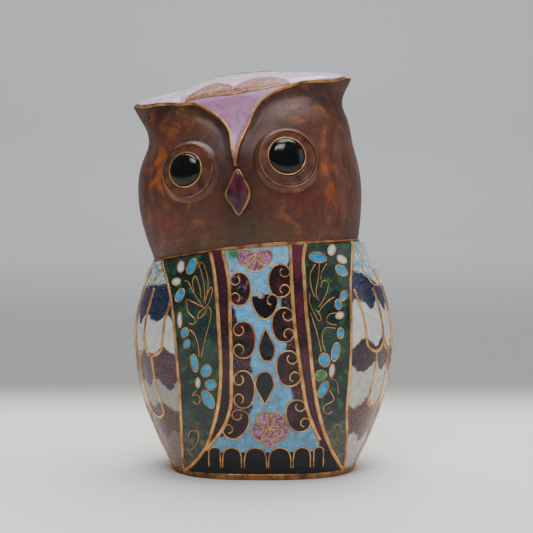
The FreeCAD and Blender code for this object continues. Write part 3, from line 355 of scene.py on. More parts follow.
for side, petals, stems, edge in (("left", FLANK_L_PETALS, FLANK_L_STEMS, WING_EDGE_L),
                                  ("right", FLANK_R_PETALS, FLANK_R_STEMS, WING_EDGE_R)):
    wire("wing_edge_wires", "front", edge, EDGE_WIRE)
    for cx, cz, long, wide, turn, fill in petals:
        wire(f"flank_wires_{side}", "front", oval(cx, cz, long, wide, turn), PETAL_WIRE, True, fill)
    for stem in stems:
        wire(f"flank_wires_{side}", "front", stem, STEM_WIRE)
    sign = 1 if side == "left" else -1
    first, wide, end1, end2 = FEATHERS[side]
    for path in feather_rows(first, wide, end1, end2, 6, WING_SEAM):
        upper = path[0][1] == SHOULDER
        wire(f"feather_wires_{side}", side, path, EDGE_WIRE, fill="feather_upper" if upper else None)
    wire(f"feather_wires_{side}", side, [(WING_SEAM, 44.0), (WING_SEAM, 24.0), (WING_SEAM, 0.9)],
         FEATHER_WIRE)
    wire(f"shoulder_wires_{side}", side, [(-2.0, SHOULDER), (4.0, SHOULDER), (WING_SEAM, SHOULDER)])
    for u in (-10.4, -6.0, -1.6, 2.8, 7.2):
        wire(f"shoulder_wires_{side}", side, scale_arch(u, 35.2, 4.2))
    rear = [tongue(10.6, 14.6, SHOULDER, SHOULDER, 21.4), tongue(14.6, 18.6, SHOULDER, SHOULDER, 22.4),
            tongue(9.0, 12.6, 21.4, 21.4, 10.4), tongue(12.6, 16.6, 21.4, 22.4, 11.2),
            [(10.8, 10.4), (10.4, 6.0), (10.1, 0.9)], [(14.6, 11.2), (14.2, 6.0), (13.9, 0.9)]]
    for path in rear:
        wire(f"feather_wires_{side}", "behind", [(sign * x, z) for x, z in path], FEATHER_WIRE)
    for path in (scale_arch(11.0, 35.2, 3.7), scale_arch(15.0, 35.2, 3.7),
                 [(9.6, SHOULDER), (19.8, SHOULDER)]):
        wire(f"shoulder_wires_{side}", "behind", [(sign * x, z) for x, z in path])
    wire("wing_edge_wires", "behind", [(sign * x, z) for x, z in BACK_EDGE], EDGE_WIRE)
    wire("back_flower_wires", "behind", [(sign * 1.2, 27.6), (sign * 3.6, 26.4), (sign * 5.0, 27.9),
                                         (sign * 6.6, 26.0), (sign * 4.6, 24.4), (sign * 1.6, 24.8)], 0.24)
    wire("back_flower_wires", "behind", [(sign * 2.4, 37.0), (sign * 4.6, 38.6), (sign * 6.9, 36.6),
                                         (sign * 5.4, 35.2)], 0.24)
for cx, cz, size, start, fill in ((0.0, 31.5, 3.4, 90, TURQ), (0.6, 20.6, 2.6, 80, PALE)):
    for k in range(5):
        wire("back_flower_wires", "behind", moved(PETAL, cx, cz, size, size * 0.8, start - 72 * k),
             closed=True, fill=fill)
wire("tail_wires", "behind", [(-7.6, 17.0), (-3.6, 15.9), (0.0, 16.4), (3.6, 15.9), (7.6, 17.0)],
     FEATHER_WIRE)
for u, b in ((-5.7, 4.6), (-1.9, 3.4), (1.9, 4.6)):
    wire("tail_wires", "behind", tongue(u, u + 3.8, 16.4, 16.4, b), FEATHER_WIRE)
for sign in (1, -1):
    wire("brow_wires", "face", [(sign * x, z) for x, z in BROW[:-1]], BROW_WIRE)
    wire("nape_wires", "nape", [(sign * x, z) for x, z in NAPE[:-1]], FEATHER_WIRE)
wire("beak_wire", "face", BEAK, 0.32, True)
for v, us in ((15.2, (1.0, 7.8, -7.4, -14.2)), (7.6, (-3.2, 4.4, 11.2, -10.8, -17.6))):
    for u in us:
        wire("nape_wires", "nape", scale_arch(u, v, 6.4), 0.32)
wire("crown_wires", "face", LEAF_FRONT, CURL_WIRE)
for path in (LEAF_BACK, CREST):
    wire("crown_wires", "crown", path, CURL_WIRE)
CELLS.append(("leaf_enamel", "crown", np.concatenate([smooth(LEAF_BACK), [(11.0, -13.0), (-9.5, -13.0)]])))
CELLS.append(("leaf_enamel", "face", np.concatenate([smooth(LEAF_FRONT), [(10.2, 29.6), (-8.8, 29.6)]])))

# ------------------------------------------------------------------ relief of the head
BROW_CURVE = smooth(BROW)
NAPE_CURVE = smooth(NAPE)


def relief(x, z, depth):
    """How far the head's front stands out from its plain rings: brow cap, cove, cheeks and side crease."""
    ax = np.abs(x)
    brow = np.interp(ax, BROW_CURVE[:, 0], BROW_CURVE[:, 1])
    above = z - brow
    out = 0.35 * step_up(-0.3, 0.3, above)
    out -= 0.55 * np.exp(-((above + 1.9) / 1.5) ** 2) * step_up(1.5, 5.0, ax)
    out += 0.75 * np.exp(-((ax - 9.3) / 6.0) ** 2 - ((z - 12.0) / 8.0) ** 2)
    out -= 0.5 * np.exp(-((ax - 17.3) / 0.8) ** 2) * step_up(2, 6, z) * step_up(25, 21, z)
    out -= 0.4 * np.exp(-(x / 1.6) ** 2) * step_up(6.0, 8.0, z) * step_up(17, 14, z)
    return out * step_up(0.5, 5.0, -depth)


def face_at(x, z):
    """The front of the head with its relief."""
    p = head_front(x, z)
    p[:, 1] -= relief(x, z, p[:, 1])
    return p


SURFACES = {
    "front": lambda u, v: body_front(u, v), "behind": lambda u, v: body_front(u, v, 1.0),
    "left": lambda u, v: body_side(u, v, 1.0), "right": lambda u, v: body_side(u, v, -1.0),
    "face": face_at, "nape": lambda u, v: head_front(u, v, 1.0), "crown": crown_top}
ON_HEAD = ("face", "nape", "crown")
HEAD_CORE = np.array([0.0, 0.0, 14.0])


def placed(view, u, v, h=0.05):
    """Points of a view on its surface, with their outward normals, in the object's frame."""
    f = SURFACES[view]
    p = f(u, v)
    n = unit(np.cross(f(u + h, v) - f(u - h, v), f(u, v + h) - f(u, v - h)))
    away = p - HEAD_CORE if view in ON_HEAD else p * (1, 1, 0)
    n *= np.where((n * away).sum(1) < 0, -1.0, 1.0)[:, None]
    return (on_head(p), n @ HEAD_TURN.T) if view in ON_HEAD else (p, n)


def seam_sag(x):
    """How far the neck seam droops towards both sides."""
    return -0.85 * step_up(2.0, 19.0, x) - 0.35 * step_up(-4.0, -17.0, x)


def on_head(p):
    """From the head's own frame to the object's, with the uneven crown, ears and seam of hand work."""
    x, z = p[..., 0], p[..., 2]
    high, ear = step_up(26.5, 29.2, z), (x / 20.0) ** 2
    q = p.copy()
    q[..., 2] += high * np.interp(x, (-20, -15, -10, -6.5, -3, 5, 10, 15, 20),
                                  (0.5, -0.2, -0.9, -0.3, 0.1, 0.2, 0.1, 0.5, 0.8))
    q[..., 2] += seam_sag(x) * step_up(6.0, 0.8, z)
    q[..., 0] += 0.9 * np.exp(-((z - 22.0) / 3.2) ** 2) + high * ear * (0.4 + 0.7 * np.sign(x))
    return q @ HEAD_TURN.T + NECK


# ------------------------------------------------------------------ meshes
MESHES = {}   # piece: [vertices, faces, {attribute: values}]


def collect(piece, verts, faces, **values):
    """Adds a patch to a piece, with the values that its colours need."""
    m = MESHES.setdefault(piece, [[], [], {}])
    base = sum(len(v) for v in m[0])
    m[0].append(np.asarray(verts, float))
    m[1].extend([tuple(int(i) + base for i in f) for f in faces])
    for key, value in values.items():
        m[2].setdefault(key, []).append(np.asarray(value, float))


WIRE_POINTS = []


def sweep(piece, p, n, width, height, closed):
    """A flattened round wire along points, standing on a surface with normals n."""
    t = unit(np.roll(p, -1, 0) - np.roll(p, 1, 0) if closed else np.gradient(p, axis=0))
    side = unit(np.cross(n, t))
    wobble = grain(p, 0.9, 3.1)
    half = width / 2 * (1 + 0.14 * wobble)
    top = height * (1 + 0.35 * grain(p, 0.7, 9.7))
    p = p + side * (0.035 * grain(p, 0.6, 21.0))[:, None]
    profile = [(-1.0, -0.35, 0), (-0.97, 0.25, 1), (-0.72, 0.8, 1), (-0.25, 1.0, 1), (0.25, 1.0, 1),
               (0.72, 0.8, 1), (0.97, 0.25, 1), (1.0, -0.35, 0)]
    rows = [p + side * (half * a)[:, None] + n * ((top * b if up else b) * np.ones(len(p)))[:, None]
            for a, b, up in profile]
    verts = np.stack(rows, 1).reshape(-1, 3)
    k, m = len(p), len(profile)
    faces = grid_faces(k, m, closed, False)
    if not closed:
        faces += [tuple(range(m - 1, -1, -1)), tuple((k - 1) * m + q for q in range(m))]
    collect(piece, verts, faces)
    WIRE_POINTS.extend((tuple(q), width / 2) for q in p)


# Each wire is kept only where it lies on its own part of the surface, and below the head's seam.
for piece, view, path, width, closed in WIRES:
    uv = smooth(path, closed)
    if view == "front":
        keep = np.abs(uv[:, 0]) < spline(BODY, uv[:, 1])[:, 1] - 0.6
        uv = uv[keep]
    keep = np.ones(len(uv), bool)
    if view in ("left", "right"):
        keep = np.abs(uv[:, 0]) < spline(BODY, uv[:, 1])[:, 3] - 0.3
        at = SURFACES[view](uv[:, 0], uv[:, 1])
        edge = np.abs(line_at(WING_EDGE_L if view == "left" else WING_EDGE_R, uv[:, 1]))
        keep &= (uv[:, 0] > 0) | (np.abs(at[:, 0]) > edge - 0.1)
        keep &= uv[:, 0] < WING_SEAM + 0.1
    if view == "behind" and piece[:5] in ("feath", "shoul"):
        at = body_front(uv[:, 0], uv[:, 1], 1.0)
        keep = (np.abs(uv[:, 0]) > line_at(BACK_EDGE, uv[:, 1]) - 0.1) & (at[:, 1] > WING_SEAM - 3.0)
        keep &= np.abs(uv[:, 0]) < spline(BODY, uv[:, 1])[:, 1] - 0.3
    p, n = placed(view, uv[:, 0], uv[:, 1])
    if view == "behind":
        keep &= p[:, 1] > 0.5
    if not keep.all():
        run = np.flatnonzero(keep)
        if len(run) < 4:
            continue
        if closed:
            shift = int(np.argmin(keep))
            p, n, keep, closed = np.roll(p, -shift, 0), np.roll(n, -shift, 0), np.roll(keep, -shift), False
        p, n = p[keep], n[keep]
    if view not in ON_HEAD:                       # the head's seam cuts the body's wires off
        under = (p - NECK) @ HEAD_TURN[:, 2] < 0.15 + seam_sag((p - NECK) @ HEAD_TURN[:, 0])
        p, n = p[under], n[under]
        if closed and not under.all():
            first = int(np.argmin(under))
            p, n, closed = np.roll(p, -first, 0), np.roll(n, -first, 0), False
    if len(p) > 3:
        sweep(piece, p, n, width, 0.16 if width > 0.6 else 0.1, closed)

# The neck band: one rounded ring around the seam, and the foot rim.
around = np.linspace(0, 2 * np.pi, 361)[:-1]


def ring_on(at, z, out):
    """A level ring of points, moved outwards from the surface."""
    p = at(np.cos(around), np.sin(around), np.full(around.shape, z))
    t = np.roll(p, -1, 0) - np.roll(p, 1, 0)
    return p + unit(np.cross(t, (0, 0, 1.0))) * out


def head_at(c, s, z):
    """Points on the head's plain rings, in its own frame."""
    v = spline(HEAD, z)
    depth = np.where(s > 0, v[:, 2], v[:, 1])
    return np.stack([v[:, 0] * rounded(c, v[:, 3]), depth * rounded(s, v[:, 4]),
                     np.broadcast_to(z, c.shape)], 1)


def hoop(piece, at, profile, move=lambda p: p):
    """A band round the body or head, from a closed profile of (height, how far out)."""
    rows = [move(ring_on(at, z, out)) for z, out in profile]
    collect(piece, np.stack(rows, 1).reshape(-1, 3), grid_faces(len(around), len(rows), True, True))


hoop("neck_band", head_at, [(-0.12, -0.6), (-0.12, 0.05), (0.0, 0.2), (0.25, 0.26), (0.48, 0.2), (0.6, 0.02),
                            (0.6, -0.6)], on_head)
hoop("foot_rim", body_at, [(0.0, -0.9), (0.0, 0.0), (0.25, 0.14), (0.8, 0.16), (1.15, 0.06), (1.2, -0.9)])

near_wire = kdtree.KDTree(len(WIRE_POINTS))
for i, (q, _) in enumerate(WIRE_POINTS):
    near_wire.insert(q, i)
near_wire.balance()


def even_angles(shape_p, shape_q, a, b, count):
    """Angles that space points evenly round a rounded ring."""
    t = np.linspace(0, 2 * np.pi, 20001)
    c, s = np.cos(t), np.sin(t)
    xy = np.stack([a * rounded(c, shape_p), b * rounded(s, shape_q)], 1)
    run = np.concatenate([[0], np.cumsum(np.linalg.norm(np.diff(xy, axis=0), axis=1))])
    return np.interp(np.arange(count) / count * run[-1], run, t)


def skin(rows, classify, move=lambda p: p):
    """Cuts one grid of rings into enamel pieces, by what classify says of each face."""
    local = np.stack(rows)                                    # rings, columns, xyz
    grid = move(local)
    nr, nc = grid.shape[:2]
    du = np.roll(grid, -1, 1) - np.roll(grid, 1, 1)
    dv = np.gradient(grid, axis=0)
    n = unit(np.cross(du, dv))
    flat = grid.reshape(-1, 3)
    edge = np.empty(len(flat))
    for i, q in enumerate(flat):
        _, k, d = near_wire.find(q)
        edge[i] = max(0.0, d - WIRE_POINTS[k][1])
    lumps = grain(flat, 0.55, 5.0) + 0.5 * grain(flat, 1.7, 40.0)
    sink = -0.02 - 0.05 * step_up(0.0, 0.7, edge) + 0.02 * lumps
    verts = flat + n.reshape(-1, 3) * sink[:, None]
    j = np.arange(nc)
    i0 = (np.arange(nr - 1)[:, None] * nc + j).ravel()
    i1 = (np.arange(nr - 1)[:, None] * nc + (j + 1) % nc).ravel()
    quads = np.stack([i0, i1, i1 + nc, i0 + nc], 1)
    labels = classify(local.reshape(-1, 3)[quads].mean(1))
    for label in sorted(set(labels) - {"under"}):
        sel = quads[labels == label]
        used, inv = np.unique(sel, return_inverse=True)
        collect(label, verts[used], inv.reshape(-1, 4), edge=edge[used], place=local.reshape(-1, 3)[used])


# ------------------------------------------------------------------ which enamel is where
def body_labels(c):
    """The piece that each point of the body's skin belongs to."""
    x, y, z = c.T
    labels = np.full(len(c), "wing", dtype=object)
    lines = [line_at(w, z) for w in (WING_EDGE_R, STRAP_R_OUT, STRAP_R_IN,
                                     STRAP_L_IN, STRAP_L_OUT, WING_EDGE_L)]
    front = y < 0
    names = ["flank_enamel_right", "strap_enamel", "breast_enamel", "strap_enamel", "flank_enamel_left"]
    for name, lo, hi in zip(names, lines, lines[1:]):
        labels[front & (x >= lo) & (x < hi)] = name
    labels[front & (x > lines[1]) & (x < lines[4]) & (z < 5.4)] = "toe_enamel"
    panel = ~front & (np.abs(x) < line_at(BACK_EDGE, z))
    labels[panel] = np.where(z[panel] < 16.5, "tail_enamel", "back_enamel")
    for fill, view, poly in CELLS:
        if view == "front":
            labels[front & (labels != "wing") & within(poly, x, z)] = fill
        if view == "behind":
            labels[panel & within(poly, x, z)] = fill
    for a, b in ARCHES:
        labels[front & within(smooth(arch(a, b, 6.3, 1.0)), x, z)] = "toe_enamel"
    for side, sign in (("left", 1), ("right", -1)):
        wing = (labels == "wing") & (x * sign > 0)
        labels[wing] = np.where(z[wing] > SHOULDER, f"shoulder_enamel_{side}", f"lower_feather_enamel_{side}")
        upper = f"upper_feather_enamel_{side}"
        for fill, view, poly in CELLS:
            if view == side:
                labels[wing & (y < WING_SEAM) & (z < SHOULDER) & within(poly, y, z)] = upper
        labels[wing & (y > WING_SEAM) & (z < SHOULDER) & (z > 22.5)] = upper
    return labels


def head_labels(c):
    """The same for the head. Under the beak and the eyes there is no skin."""
    x, y, z = c.T
    brow = np.interp(np.abs(x), BROW_CURVE[:, 0], BROW_CURVE[:, 1])
    nape = np.interp(np.abs(x), NAPE_CURVE[:, 0], NAPE_CURVE[:, 1])
    labels = np.where(y < 0, np.where(z > brow, "crown_enamel", "face_enamel"),
                      np.where(z > nape, "crown_enamel", "nape_enamel")).astype(object)
    labels[(y < 0) & within(smooth(BEAK, True), x, z)] = "under"
    for fill, view, poly in CELLS:
        if view == "face":
            labels[(y < 0) & (labels == "crown_enamel") & within(poly, x, z)] = fill
    for side, (ex, ez, disc, _) in EYES.items():
        labels[(y < 0) & ((x - ex) ** 2 + (z - ez) ** 2 < (disc - 0.9) ** 2)] = "under"
    return labels


def crown_labels(c):
    x, y, z = c.T
    labels = np.full(len(c), "crown_enamel", dtype=object)
    for fill, view, poly in CELLS:
        if view == "crown":
            labels[within(poly, x, y)] = fill
    return labels


FINE = 0.19
angles = even_angles(BODY_P, BODY_Q, 24.0, 19.0, int(138 / FINE))
c, s = np.cos(angles), np.sin(angles)
top = np.full(c.shape, 42.0)
for _ in range(12):
    p = body_at(c, s, top)
    top = NECK[2] - ((p[:, 0] - NECK[0]) * HEAD_TURN[0, 2] + p[:, 1] * HEAD_TURN[1, 2]) / HEAD_TURN[2, 2]
    top += seam_sag((p - NECK) @ HEAD_TURN[:, 0])
steps = np.linspace(0, 1, int(42 / FINE))
rings = [body_at(c, s, 1.1 + (top - 1.1) * t) for t in steps]
for shrink in (0.97, 0.9, 0.82):                  # a ledge that runs in under the head
    rings.append((rings[len(steps) - 1] - NECK) * (shrink, shrink, 1.0) + NECK)
skin(rings, body_labels)

angles = even_angles(2.4, 2.1, 20.5, 17.5, int(122 / FINE))
c, s = np.cos(angles), np.sin(angles)


def head_ring(z):
    p = head_at(c, s, np.full(c.shape, z))
    p[:, 1] -= relief(p[:, 0], p[:, 2], p[:, 1])
    return p


def crown_ring(z):
    v = spline(CROWN, z)
    depth = np.where(s > 0, v[:, 2], v[:, 1])
    p = np.stack([v[:, 0] * rounded(c, v[:, 3]), depth * rounded(s, v[:, 4]),
                  np.full(c.shape, float(z))], 1)
    p[:, 1] -= relief(p[:, 0], p[:, 2], p[:, 1])
    return p


skin([head_ring(z) for z in np.linspace(0.5, 29.2, int(29 / FINE))], head_labels, on_head)
skin([crown_ring(z) for z in 29.2 + 4.0 * np.linspace(0, 1, int(20 / FINE)) ** 1.6], crown_labels, on_head)
tip = crown_ring(33.2)
collect("crown_enamel", on_head(tip), [tuple(range(len(tip)))], edge=np.full(len(tip), 2.0), place=tip)


# ------------------------------------------------------------------ eyes and beak
def lathe(piece, centre, axis, profile, shift=0.0, count=96, lift=0.0):
    """A turned piece: (radius, height) points about an axis, closed or ending on the axis."""
    axis = unit(axis)
    e1 = unit(np.cross((0, 0, 1.0), axis))
    e2 = np.cross(axis, e1)
    verts = []
    for k in range(count):
        a = 2 * math.pi * k / count
        spoke = e1 * math.cos(a) + e2 * math.sin(a)
        for r, h in profile:
            verts.append(centre + spoke * r + axis * h + e1 * shift + e2 * lift)
    loop = profile[-1][0] > 0.01
    faces = [(a, d, c, b) for a, b, c, d in grid_faces(count, len(profile), True, loop)]
    verts = np.array(verts)
    collect(piece, verts, faces, edge=np.full(len(verts), 0.6), place=(verts - NECK) @ HEAD_TURN)


def bead(r, low, high, n=7):
    """Half-round top of a ring of wire between radii."""
    (r0, r1) = r
    m, h = (r0 + r1) / 2, (r1 - r0) / 2
    return [(r1, low)] + [(m + h * math.cos(a), high - 0.12 + 0.12 * math.sin(a))
                          for a in np.linspace(0, math.pi, n)] + [(r0, low)]


EYE_WIRE, TOP, IRIS, DOME, SHIFT = 0.27, 0.35, 1.0, 1.25, -0.3
for side, (ex, ez, disc, pupil) in EYES.items():
    flat = head_front(np.array([ex]), np.array([ez]))
    h = 0.05
    dx = head_front(np.array([ex + h]), np.array([ez])) - flat
    dz = head_front(np.array([ex]), np.array([ez + h])) - flat
    out = np.cross(dx, dz)[0]
    out *= -np.sign(out[1])
    centre, out = on_head(flat)[0], HEAD_TURN @ unit(out)
    inner, lift = pupil + EYE_WIRE, 0.45 if side == "left" else 0.15
    lathe(f"eye_boss_{side}", centre, out,
          [(disc + 1.0, -2.4), (disc + 0.85, -0.5), (disc + 0.5, 0.0), (disc + 0.18, 0.3),
           (disc, TOP + 0.3), (disc - 0.2, TOP), (0.3, TOP), (0.3, -2.4)])
    lathe(f"eye_ring_outer_{side}", centre, out, bead((disc - 0.26, disc + 0.02), TOP - 0.1, IRIS + 0.16))
    lathe(f"eye_iris_enamel_{side}", centre, out,
          [(disc - 0.24, TOP), (disc - 0.24, IRIS + 0.02), (disc - 0.6, IRIS - 0.1),
           ((disc + inner) / 2, IRIS - 0.12), (inner - 0.1, IRIS - 0.02), (inner - 0.4, IRIS - 0.02),
           (inner - 0.4, TOP)])
    lathe(f"eye_ring_inner_{side}", centre, out, bead((pupil, inner), IRIS - 0.4, IRIS + 0.22),
          SHIFT, lift=lift)
    bulge = [(pupil * math.cos(a), IRIS + DOME * math.sin(a) ** 0.9) for a in np.linspace(0, math.pi / 2, 22)]
    lathe(f"eye_pupil_{side}", centre, out, [(pupil, TOP)] + bulge[:-1] + [(0.0, IRIS + DOME)],
          SHIFT, lift=lift)

outline = smooth(BEAK, True)
layers = [1.0, 0.985, 0.93, 0.8, 0.6, 0.35, 0.12]
lift = [-0.7, 0.45, 0.62, 0.78, 0.9, 0.97, 1.0]
hub = np.array([0.0, 11.0])
verts = []
for t, up in zip(layers, lift):
    uv = hub + (outline - hub) * t
    p, n = placed("face", uv[:, 0], uv[:, 1])
    verts.append(p + n * (up * 0.95))
k = len(outline)
faces = grid_faces(len(layers), k, False, True)
faces.append(tuple((len(layers) - 1) * k + i for i in range(k)))
verts = np.concatenate(verts)
collect("beak_enamel", verts, faces, edge=np.repeat(1 - np.array(layers), k) * 2.0,
        place=(verts - NECK) @ HEAD_TURN)
# The beak's wire stands on the raised rim, in place of the one laid flat round its cell.
MESHES.pop("beak_wire", None)
p, n = placed("face", outline[:, 0], outline[:, 1])
sweep("beak_wire", p + n * 0.42, n, 0.42, 0.16, True)


# ------------------------------------------------------------------ colours
def lin(r, g, b):
    """A display colour, 0 to 255, as linear light."""
    return np.array([v / 255 / 12.92 if v < 10.3 else ((v / 255 + 0.055) / 1.055) ** 2.4
                     for v in (r, g, b)])


def mix(a, b, t):
    """From a to b by t, one value for each point. Either may be one colour for all of them."""
    return a + (b - a) * np.clip(t, 0, 1)[:, None]


def solid(*rgb):
    return lambda p, w: np.tile(lin(*rgb), (len(p), 1))


PLUM, PLUM_DEEP = lin(76, 27, 44), lin(34, 18, 25)
SKY, SKY_PALE, GREEN = lin(80, 156, 206), lin(136, 186, 218), lin(52, 122, 62)
MAUVE, CREAM, NAVY = lin(146, 96, 124), lin(188, 192, 186), lin(14, 24, 56)
BOTTLE, BOTTLE_HAZE, BROWN = lin(20, 34, 34), lin(44, 60, 54), lin(86, 50, 40)
# How far the plum reaches in from each strap, down the breast: height, width.
PLUM_RIGHT = [(7.5, 0.0), (10.0, 2.6), (13.5, 4.0), (18.0, 3.3), (21.7, 3.7), (26.0, 2.4), (30.3, 1.2),
              (33.0, 0.2)]
PLUM_LEFT = [(9.0, 0.0), (12.0, 1.0), (15.9, 2.4), (24.8, 2.1), (32.4, 2.3), (39.0, 0.9), (41.0, 0.0)]


def breast_tint(p, w):
    """Sky blue down the middle, plum and soot behind the scrolls."""
    x, z = p[:, 0], p[:, 2]
    n1, n2 = grain(p, 0.9, 2.0), grain(p, 2.6, 11.0)
    base = mix(SKY, SKY_PALE, 0.3 + 0.9 * n2 + step_up(34, 41, z) * 0.3)
    base = mix(base, lin(150, 140, 178), 0.8 * np.exp(-((x + 5.4) / 0.9) ** 2 - ((z - 38.2) / 1.5) ** 2))
    base = mix(base, GREEN, 1.2 * np.exp(-((x + 5.3) / 1.3) ** 2 - ((z - 41.3) / 1.0) ** 2))
    base = mix(base, lin(40, 78, 130), step_up(0.3, 0.55, n2) * 0.7)
    base = mix(base, lin(92, 122, 134), step_up(30, 16, z) * (0.5 + 0.5 * n1))
    reach = [np.interp(z, *np.array(side).T) for side in (PLUM_RIGHT, PLUM_LEFT)]
    inside = np.maximum(reach[0] - (x - line_at(STRAP_R_IN, z)), reach[1] - (line_at(STRAP_L_IN, z) - x))
    plum = mix(PLUM, PLUM_DEEP, 0.8 + 1.2 * n1)
    return mix(base, plum, step_up(-0.2, 0.25, inside + 0.35 * n1))


def scroll_tint(p, w):
    n = grain(p, 0.5, 30.0)
    haze = step_up(0.15, 0.5, grain(p, 1.4, 70.0)) * step_up(31, 33, p[:, 2]) * step_up(0, -2, p[:, 0])
    return mix(mix(PLUM, PLUM_DEEP, 1.0 + 1.3 * n), lin(120, 110, 130), haze * 0.5)


def strap_tint(p, w):
    x, z = p[:, 0], p[:, 2]
    n = grain(p, 0.35, 60.0)
    # Painted light: the owl's left strap (x > 0) is painted lighter, and lit paints a lighter patch at its
    # top.
    lit = step_up(36, 42, z) * step_up(0, 2, x)
    return mix(mix(PLUM_DEEP, PLUM, 0.25 + 0.9 * n + 0.35 * (x > 0)), lin(112, 50, 74), lit * 0.5)


def flank_tint(p, w):
    n, m = grain(p, 0.25, 15.0), grain(p, 0.9, 33.0)
    t = mix(BOTTLE, BOTTLE_HAZE, 0.3 + 1.1 * n)
    t = mix(t, lin(34, 92, 48), step_up(0.15, 0.45, m) * 0.7)
    return mix(t, lin(112, 104, 94), step_up(16, 3, p[:, 2]) * (0.4 + 0.6 * m))


def rosette_tint(p, w):
    n = grain(p, 2.2, 8.0)
    return mix(mix(MAUVE, lin(172, 142, 162), 0.2 + 1.0 * n), PLUM, step_up(0.0, 0.35, -n) * 0.6)


def petal_tint(r, g, b, pale):
    def tint(p, w):
        n = grain(p, 1.5, 50.0)
        return mix(lin(r, g, b), lin(*pale), 0.25 + 0.7 * n)
    return tint


def bands(levels, colours, z, fuzz):
    """One colour above the first level, the next below it, and so on, with soft edges moved by fuzz."""
    out = np.tile(colours[0], (len(z), 1))
    for level, colour in zip(levels, colours[1:]):
        out = mix(out, colour, step_up(level + 0.22, level - 0.22, z + fuzz))
    return out


# Down each wing: the height where each colour but the first takes over, and the colours from the top.
WING_BANDS = {
    "right": ((36.0, 29.3, 23.4, 17.7, 13.6, 8.0),
              (lin(140, 184, 200), NAVY, CREAM, PLUM, lin(146, 144, 132), BROWN, lin(120, 96, 88))),
    "left": ((38.2, 32.0, 25.3, 20.6, 13.9, 7.6),
             (lin(160, 186, 200), NAVY, CREAM, PLUM, lin(176, 176, 166), BROWN, lin(176, 170, 168)))}


def wing_tint(p, w):
    """Bands of colour that hang in each feather and sink towards the back."""
    x, y, z = p.T
    left = x > 0
    starts, widths = (np.where(left, FEATHERS["left"][k], FEATHERS["right"][k]) for k in (0, 1))
    scallop = np.cos(2 * np.pi * (y - starts) / widths) * np.where(z > 21.5, -0.8, 0.8)
    slope = np.where(left, 0.15, 0.09) * np.clip(y + 11.0, 0, 14)
    fuzz = 0.7 * grain(p, 0.5, 81.0) + 0.4 * grain(p, 2.1, 18.0) + scallop * (y < 10.6) + slope
    sets = {side: bands(*WING_BANDS[side], z, fuzz) for side in WING_BANDS}
    out = np.where(left[:, None], sets["left"], sets["right"])
    top, bottom = (np.where(left, WING_BANDS["left"][0][k], WING_BANDS["right"][0][k]) for k in (2, 3))
    plum = (z + fuzz < top) & (z + fuzz > bottom)
    red = mix(lin(84, 26, 50), lin(34, 20, 28), 0.6 + grain(p, 0.6, 90.0))
    out[plum] = (out[plum] + red[plum]) / 2 * np.where(left[plum], 0.55, 1.0)[:, None]
    return mix(out, lin(120, 128, 138), 0.05 + 0.09 * grain(p, 1.6, 44.0))


def shoulder_tint(p, w):
    n, m = grain(p, 0.8, 7.0), grain(p, 1.8, 27.0)
    t = mix(lin(120, 160, 182), CREAM, 0.5 + 1.3 * n)
    t = mix(t, lin(70, 122, 84), step_up(0.15, 0.45, m))
    edge = 34.9 + np.where(p[:, 0] > 0, 3.4, 0.8) * step_up(-5.0, -14.0, p[:, 1]) + 0.4 * n
    return mix(t, NAVY, step_up(edge + 0.25, edge - 0.25, p[:, 2]))


def tail_tint(p, w):
    fuzz = 0.6 * grain(p, 0.7, 66.0)
    return bands((12.2, 8.4, 5.0), (NAVY, CREAM, PLUM, lin(70, 44, 44)), p[:, 2], fuzz)


def face_tint(p, w):
    """Translucent brown: darkest under the brows, where a shade under the brow ridge is painted in over the
    enamel's darker flow, and down the middle; fiery cheeks, olive below.
    """
    x, z = w[:, 0], w[:, 2]
    ax = np.abs(x)
    big, mid, small = grain(p, 0.14, 4.0), grain(p, 0.45, 14.0), grain(p, 1.5, 24.0)
    t = np.tile(lin(80, 46, 34), (len(p), 1))
    brow = np.interp(ax, BROW_CURVE[:, 0], BROW_CURVE[:, 1])
    # Painted shade: darker towards the brow line from below, standing in for the shade under the brow ridge,
    # mixed with the enamel's own darker flow there.
    t = mix(t, lin(56, 36, 32), step_up(5.5, 1.0, brow - z) * 0.7 + 0.35 * mid)
    t = mix(t, lin(54, 38, 32), step_up(5.0, 1.5, ax) * 0.8)
    cheek = np.exp(-((ax - 14.5) / 4.2) ** 2 - ((z - 12.0) / 7.5) ** 2)
    t = mix(t, lin(136, 58, 34), cheek * (0.2 + 1.4 * mid) + 0.12 * small)
    t = mix(t, lin(150, 96, 40), step_up(0.0, 0.75, mid + 0.4 * small) * step_up(3, 9, ax) * 0.4)
    t = mix(t, lin(78, 66, 40), step_up(6.5, 1.5, z) * step_up(14, 6, ax) * (0.35 + 0.8 * big))
    t = mix(t, lin(96, 22, 26), np.exp(-((x - 12.5) / 4.0) ** 2 - ((z - 7.5) / 2.2) ** 2) * (0.5 + 0.8 * mid))
    t = mix(t, lin(96, 22, 26), np.exp(-((x + 14.5) / 3.0) ** 2 - ((z - 6.5) / 2.2) ** 2) * (0.4 + 0.8 * mid))
    t = mix(t, lin(84, 58, 50), step_up(16.8, 18.2, ax) * 0.6)
    t = mix(t, lin(40, 26, 26), step_up(-0.05, 0.4, big - 0.1) * 0.55)
    return np.where((w[:, 1] < 1.0)[:, None], t, mix(t, lin(84, 52, 46), np.full(len(p), 0.7)))


def crown_tint(p, w):
    x, y, z = w.T
    n, m = grain(p, 0.3, 3.0), grain(p, 1.3, 13.0)
    t = np.tile(lin(146, 98, 134), (len(p), 1))
    t = mix(t, lin(214, 190, 212), step_up(26.5, 30.0, z) * 0.75 + 0.2 * n)
    front_panel = step_up(-8.6, -7.6, y) * step_up(11, 9, np.abs(x))
    t = mix(t, lin(188, 184, 190), front_panel * 0.6)
    return mix(t, lin(146, 100, 142), 0.15 + 0.35 * m - step_up(26, 30, z) * 0.2)


